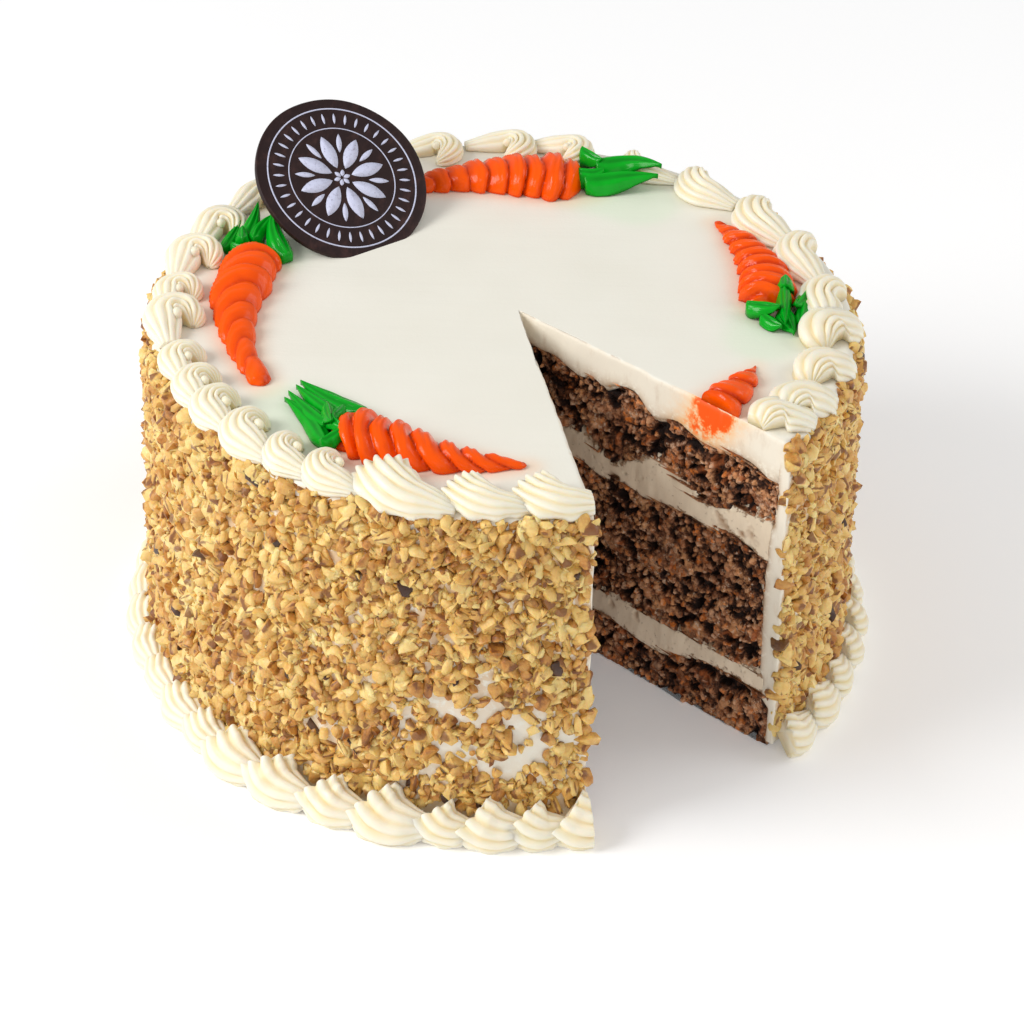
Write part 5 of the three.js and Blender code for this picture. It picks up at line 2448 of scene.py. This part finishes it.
def piped_carrots() -> tuple[PipedCarrot, ...]:
    """Lists the carrots, the cut one last.

    Returns:
        The carrots.
    """
    oval, lip = LeafShape.OVAL, LeafShape.LIP
    return (
        PipedCarrot(
            "left", -113, -59.5, 79, 0.86, (0.11, 0.12, 0.12, 0.13, 0.13, 0.12, 0.11, 0.16),
            (
                Leaf((-1.8, 8.0, 4.2), (-16.6, 8.4, 9.3), 3.1, 3.2, bow=-0.8),
                Leaf((1.2, 12.2, 2.6), (-11.0, 11.6, 5.0), 2.4, 2.4),
                Leaf((-1.6, -8.2, 3.4), (-15.2, 2.6, 10.4), 3.4, 3.0, bow=1.6),
                Leaf((-3.0, 3.8, 5.6), (-12.4, 2.4, 8.2), 2.3, 2.6, bow=1.2, shape=oval),
                Leaf((-0.4, 6.2, 6.4), (-5.6, 8.6, 6.8), 2.3, 2.8, shape=oval),
                Leaf((0.6, 9.2, 4.4), (-0.2, 1.4, 4.6), 1.7, 2.4, bow=-1.2, shape=lip),
            ),
            slant=1.0, bow=0.6, smooth_side=0.3, smooth_way=-1, notch=0.34, tip_width=0.36, seed=1,
        ),
        PipedCarrot(
            "front", -36.5, 5.6, 78, 0.98, (0.10, 0.11, 0.12, 0.125, 0.165, 0.125, 0.14, 0.20),
            (
                Leaf((0.6, -9.4, 4.2), (-24.2, -12.0, 2.2), 3.9, 3.0, bow=0.6),
                Leaf((-5.0, -3.6, 4.4), (-23.9, -9.6, 2.0), 2.7, 2.6),
                Leaf((-3.2, 2.6, 4.6), (-23.8, -5.9, 1.9), 3.0, 3.0),
                Leaf((1.2, 9.0, 3.6), (-22.6, -2.6, 1.9), 3.2, 2.8, bow=-2.0),
                Leaf((-7.2, -2.6, 6.6), (-0.2, 4.4, 7.0), 2.2, 3.2, shape=oval),
                Leaf((-3.0, -5.0, 6.2), (4.4, 3.6, 6.6), 2.0, 3.0, bow=-3.4, shape=lip),
                Leaf((1.4, 11.0, 4.8), (3.8, 4.6, 6.2), 2.1, 3.0, shape=lip),
            ),
            slant=1.25, bow=0.6, smooth_side=0.2, smooth_way=1, notch=0.46, tip_width=0.16, seed=2,
        ),
        PipedCarrot(
            "right", 95, 132, 79, 0.88, (0.1, 0.1, 0.11, 0.11, 0.11, 0.11, 0.12, 0.12, 0.12),
            (
                Leaf((3.8, 4.4, 8.0), (-14.4, 2.2, 4.2), 2.4, 4.2),
                Leaf((-2.0, -7.4, 4.2), (-7.8, 1.6, 6.2), 3.0, 2.6, shape=oval),
                Leaf((-6.6, -3.6, 3.2), (-14.0, 1.4, 3.0), 2.5, 2.8, shape=oval),
                Leaf((-5.5, 3.0, 4.0), (-16.0, 4.8, 1.6), 3.2, 2.6),
                Leaf((1.8, 11.4, 5.2), (-6.4, 6.6, 5.4), 2.8, 3.2, shape=oval),
                Leaf((-4.4, 9.4, 4.8), (-11.8, 7.2, 2.4), 2.6, 3.0, shape=oval),
                Leaf((5.6, 5.0, 8.2), (0.4, 4.2, 8.4), 2.7, 3.6, shape=lip),
            ),
            slant=-0.8, bow=0.25, smooth_side=0.3, smooth_way=1, notch=0.3, tip_width=0.14, seed=3,
            drift=6.5,
        ),
        PipedCarrot(
            "back", 163, 207, 78.8, 1.0, (0.1, 0.1, 0.1, 0.1, 0.1, 0.1, 0.1, 0.1, 0.1, 0.1),
            (
                Leaf((-3.2, 9.4, 5.4), (-24.6, 8.4, 8.4), 4.6, 3.8, bow=3.6),
                Leaf((-2.6, -1.2, 5.0), (-24.4, 5.2, 6.6), 4.9, 4.8, bow=2.0),
                Leaf((2.4, 13.8, 6.8), (-5.2, 9.4, 6.4), 2.3, 3.2, shape=lip),
                Leaf((0.2, 1.6, 6.2), (-7.4, 3.4, 6.6), 2.3, 3.2, bow=-1.0, shape=lip),
            ),
            slant=0.6, bow=0.3, smooth_side=0.3, smooth_way=-1, notch=0.3, tip_width=0.2, seed=4,
        ),
        PipedCarrot(
            "cut", 46, 72.5, 77.0, 0.74, (0.36, 0.28, 0.2, 0.16),
            slant=0.7, bow=0.5, notch=0.34, tip_width=0.05, seed=5,
        ),
    )


def borders(finish: Finish) -> tuple[PipedBorder, ...]:
    """Lists the two borders.

    Args:
        finish: Their finish.

    Returns:
        The borders.
    """
    top_shell = ShellForm(21, 5.7, 6.8, 0.9, 0)
    foot_shell = ShellForm(17, 6.3, 6.6, 1.4, 10, tuck=14)
    nest = ShellMood(0.0, 185, 0, 6, 0.4, 0.25, 1.12)
    wide_nest = ShellMood(0.0, 165, -4, 7, 0.35, 0.24, 1.26)
    crown = ShellMood(1.0, 52, -2, 8, 0.1, 0.17, 1.06)
    scallop = ShellMood(0.0, -88, -62, 5, 0.1, 0.25, 1.08, 1.5, 1.6)
    side_scallop = ShellMood(0.0, -88, -60, 5, 0.1, 0.25, 0.94, 1.56, 3.8)
    small_nest = ShellMood(0.0, 185, 0, 6, 0.4, 0.25, 0.84, 1.1, 0.0, 1.42)
    hump = ShellMood(0.1, 100, 180, 6, 0.1, 0.26, 1.0, 1.16, 2.5, 1.08)
    low_hump = ShellMood(0.1, 100, 180, 6, 0.1, 0.26, 0.76, 1.05, 2.5, 1.5)
    star = ShellMood(1.0, 44, -4, 6, 0.1, 0.24, 1.06, 1.05, 3.0)
    broad = ShellMood(0.8, 34, -4, 7, 0.2, 0.24)
    back_places = (170, 181.3, 194.4, 207, 219.5, 232, 244.5)
    top_places = (52.2, 58.4, 69.5, 81.4, 99, 114.5, 129, 143.8, 157, *back_places)
    front_places = (-104.5, -92.5, -83.5, -71, -62.5, -55, -46, -37, -28.5, -20.8, -6.5, 5.5)
    foot_places = (-53, -46, -36.5, -27, -18.5, -9, -2.5, 4.6, 11.5)
    return (
        PipedBorder(
            "border_top", (*top_places, *(360 + place for place in front_places)), 96.4,
            CAKE_HEIGHT + GAP, 0, top_shell, 11.0,
            (
                (-180, small_nest), (-130, small_nest), (-110, nest), (-80, nest), (-60, wide_nest),
                (-26, wide_nest), (-22, crown), (14, crown), (52, scallop), (58, side_scallop),
                (88, side_scallop), (96, hump), (147, hump), (155, low_hump), (163, low_hump),
                (169, small_nest), (180, small_nest),
            ),
            finish, over_rim=True, seed=5,
        ),
        PipedBorder(
            "border_base", (*np.linspace(52, 299, 31), *(360 + place for place in foot_places)), 107.2,
            5.4, 52, foot_shell, 8.2,
            ((-180, broad), (-64, broad), (-40, star), (-8, star), (14, star), (60, broad), (180, broad)),
            finish, seed=12,
        ),
    )


def main() -> None:
    """Builds the cake round its frame and reports each piece."""
    logging.basicConfig(level=logging.INFO, format="%(name)s %(message)s")
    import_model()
    LOG.info("axis of the cake at %s mm", cake_axis())
    palette = Palette()
    layers = cake_layers(palette)
    for layer in layers:
        layer.build()
    patch = CarrotPatch(piped_carrots(), palette.orange, palette.green)
    IcingCoat(layers, patch, palette.icing).build()
    WalnutCrust(palette.walnut).build()
    for border in borders(palette.piped):
        border.build()
    patch.build()
    Plaque(palette.chocolate, palette.ink).build()
    Studio(palette.floor).build()


if __name__ == "__main__":
    main()
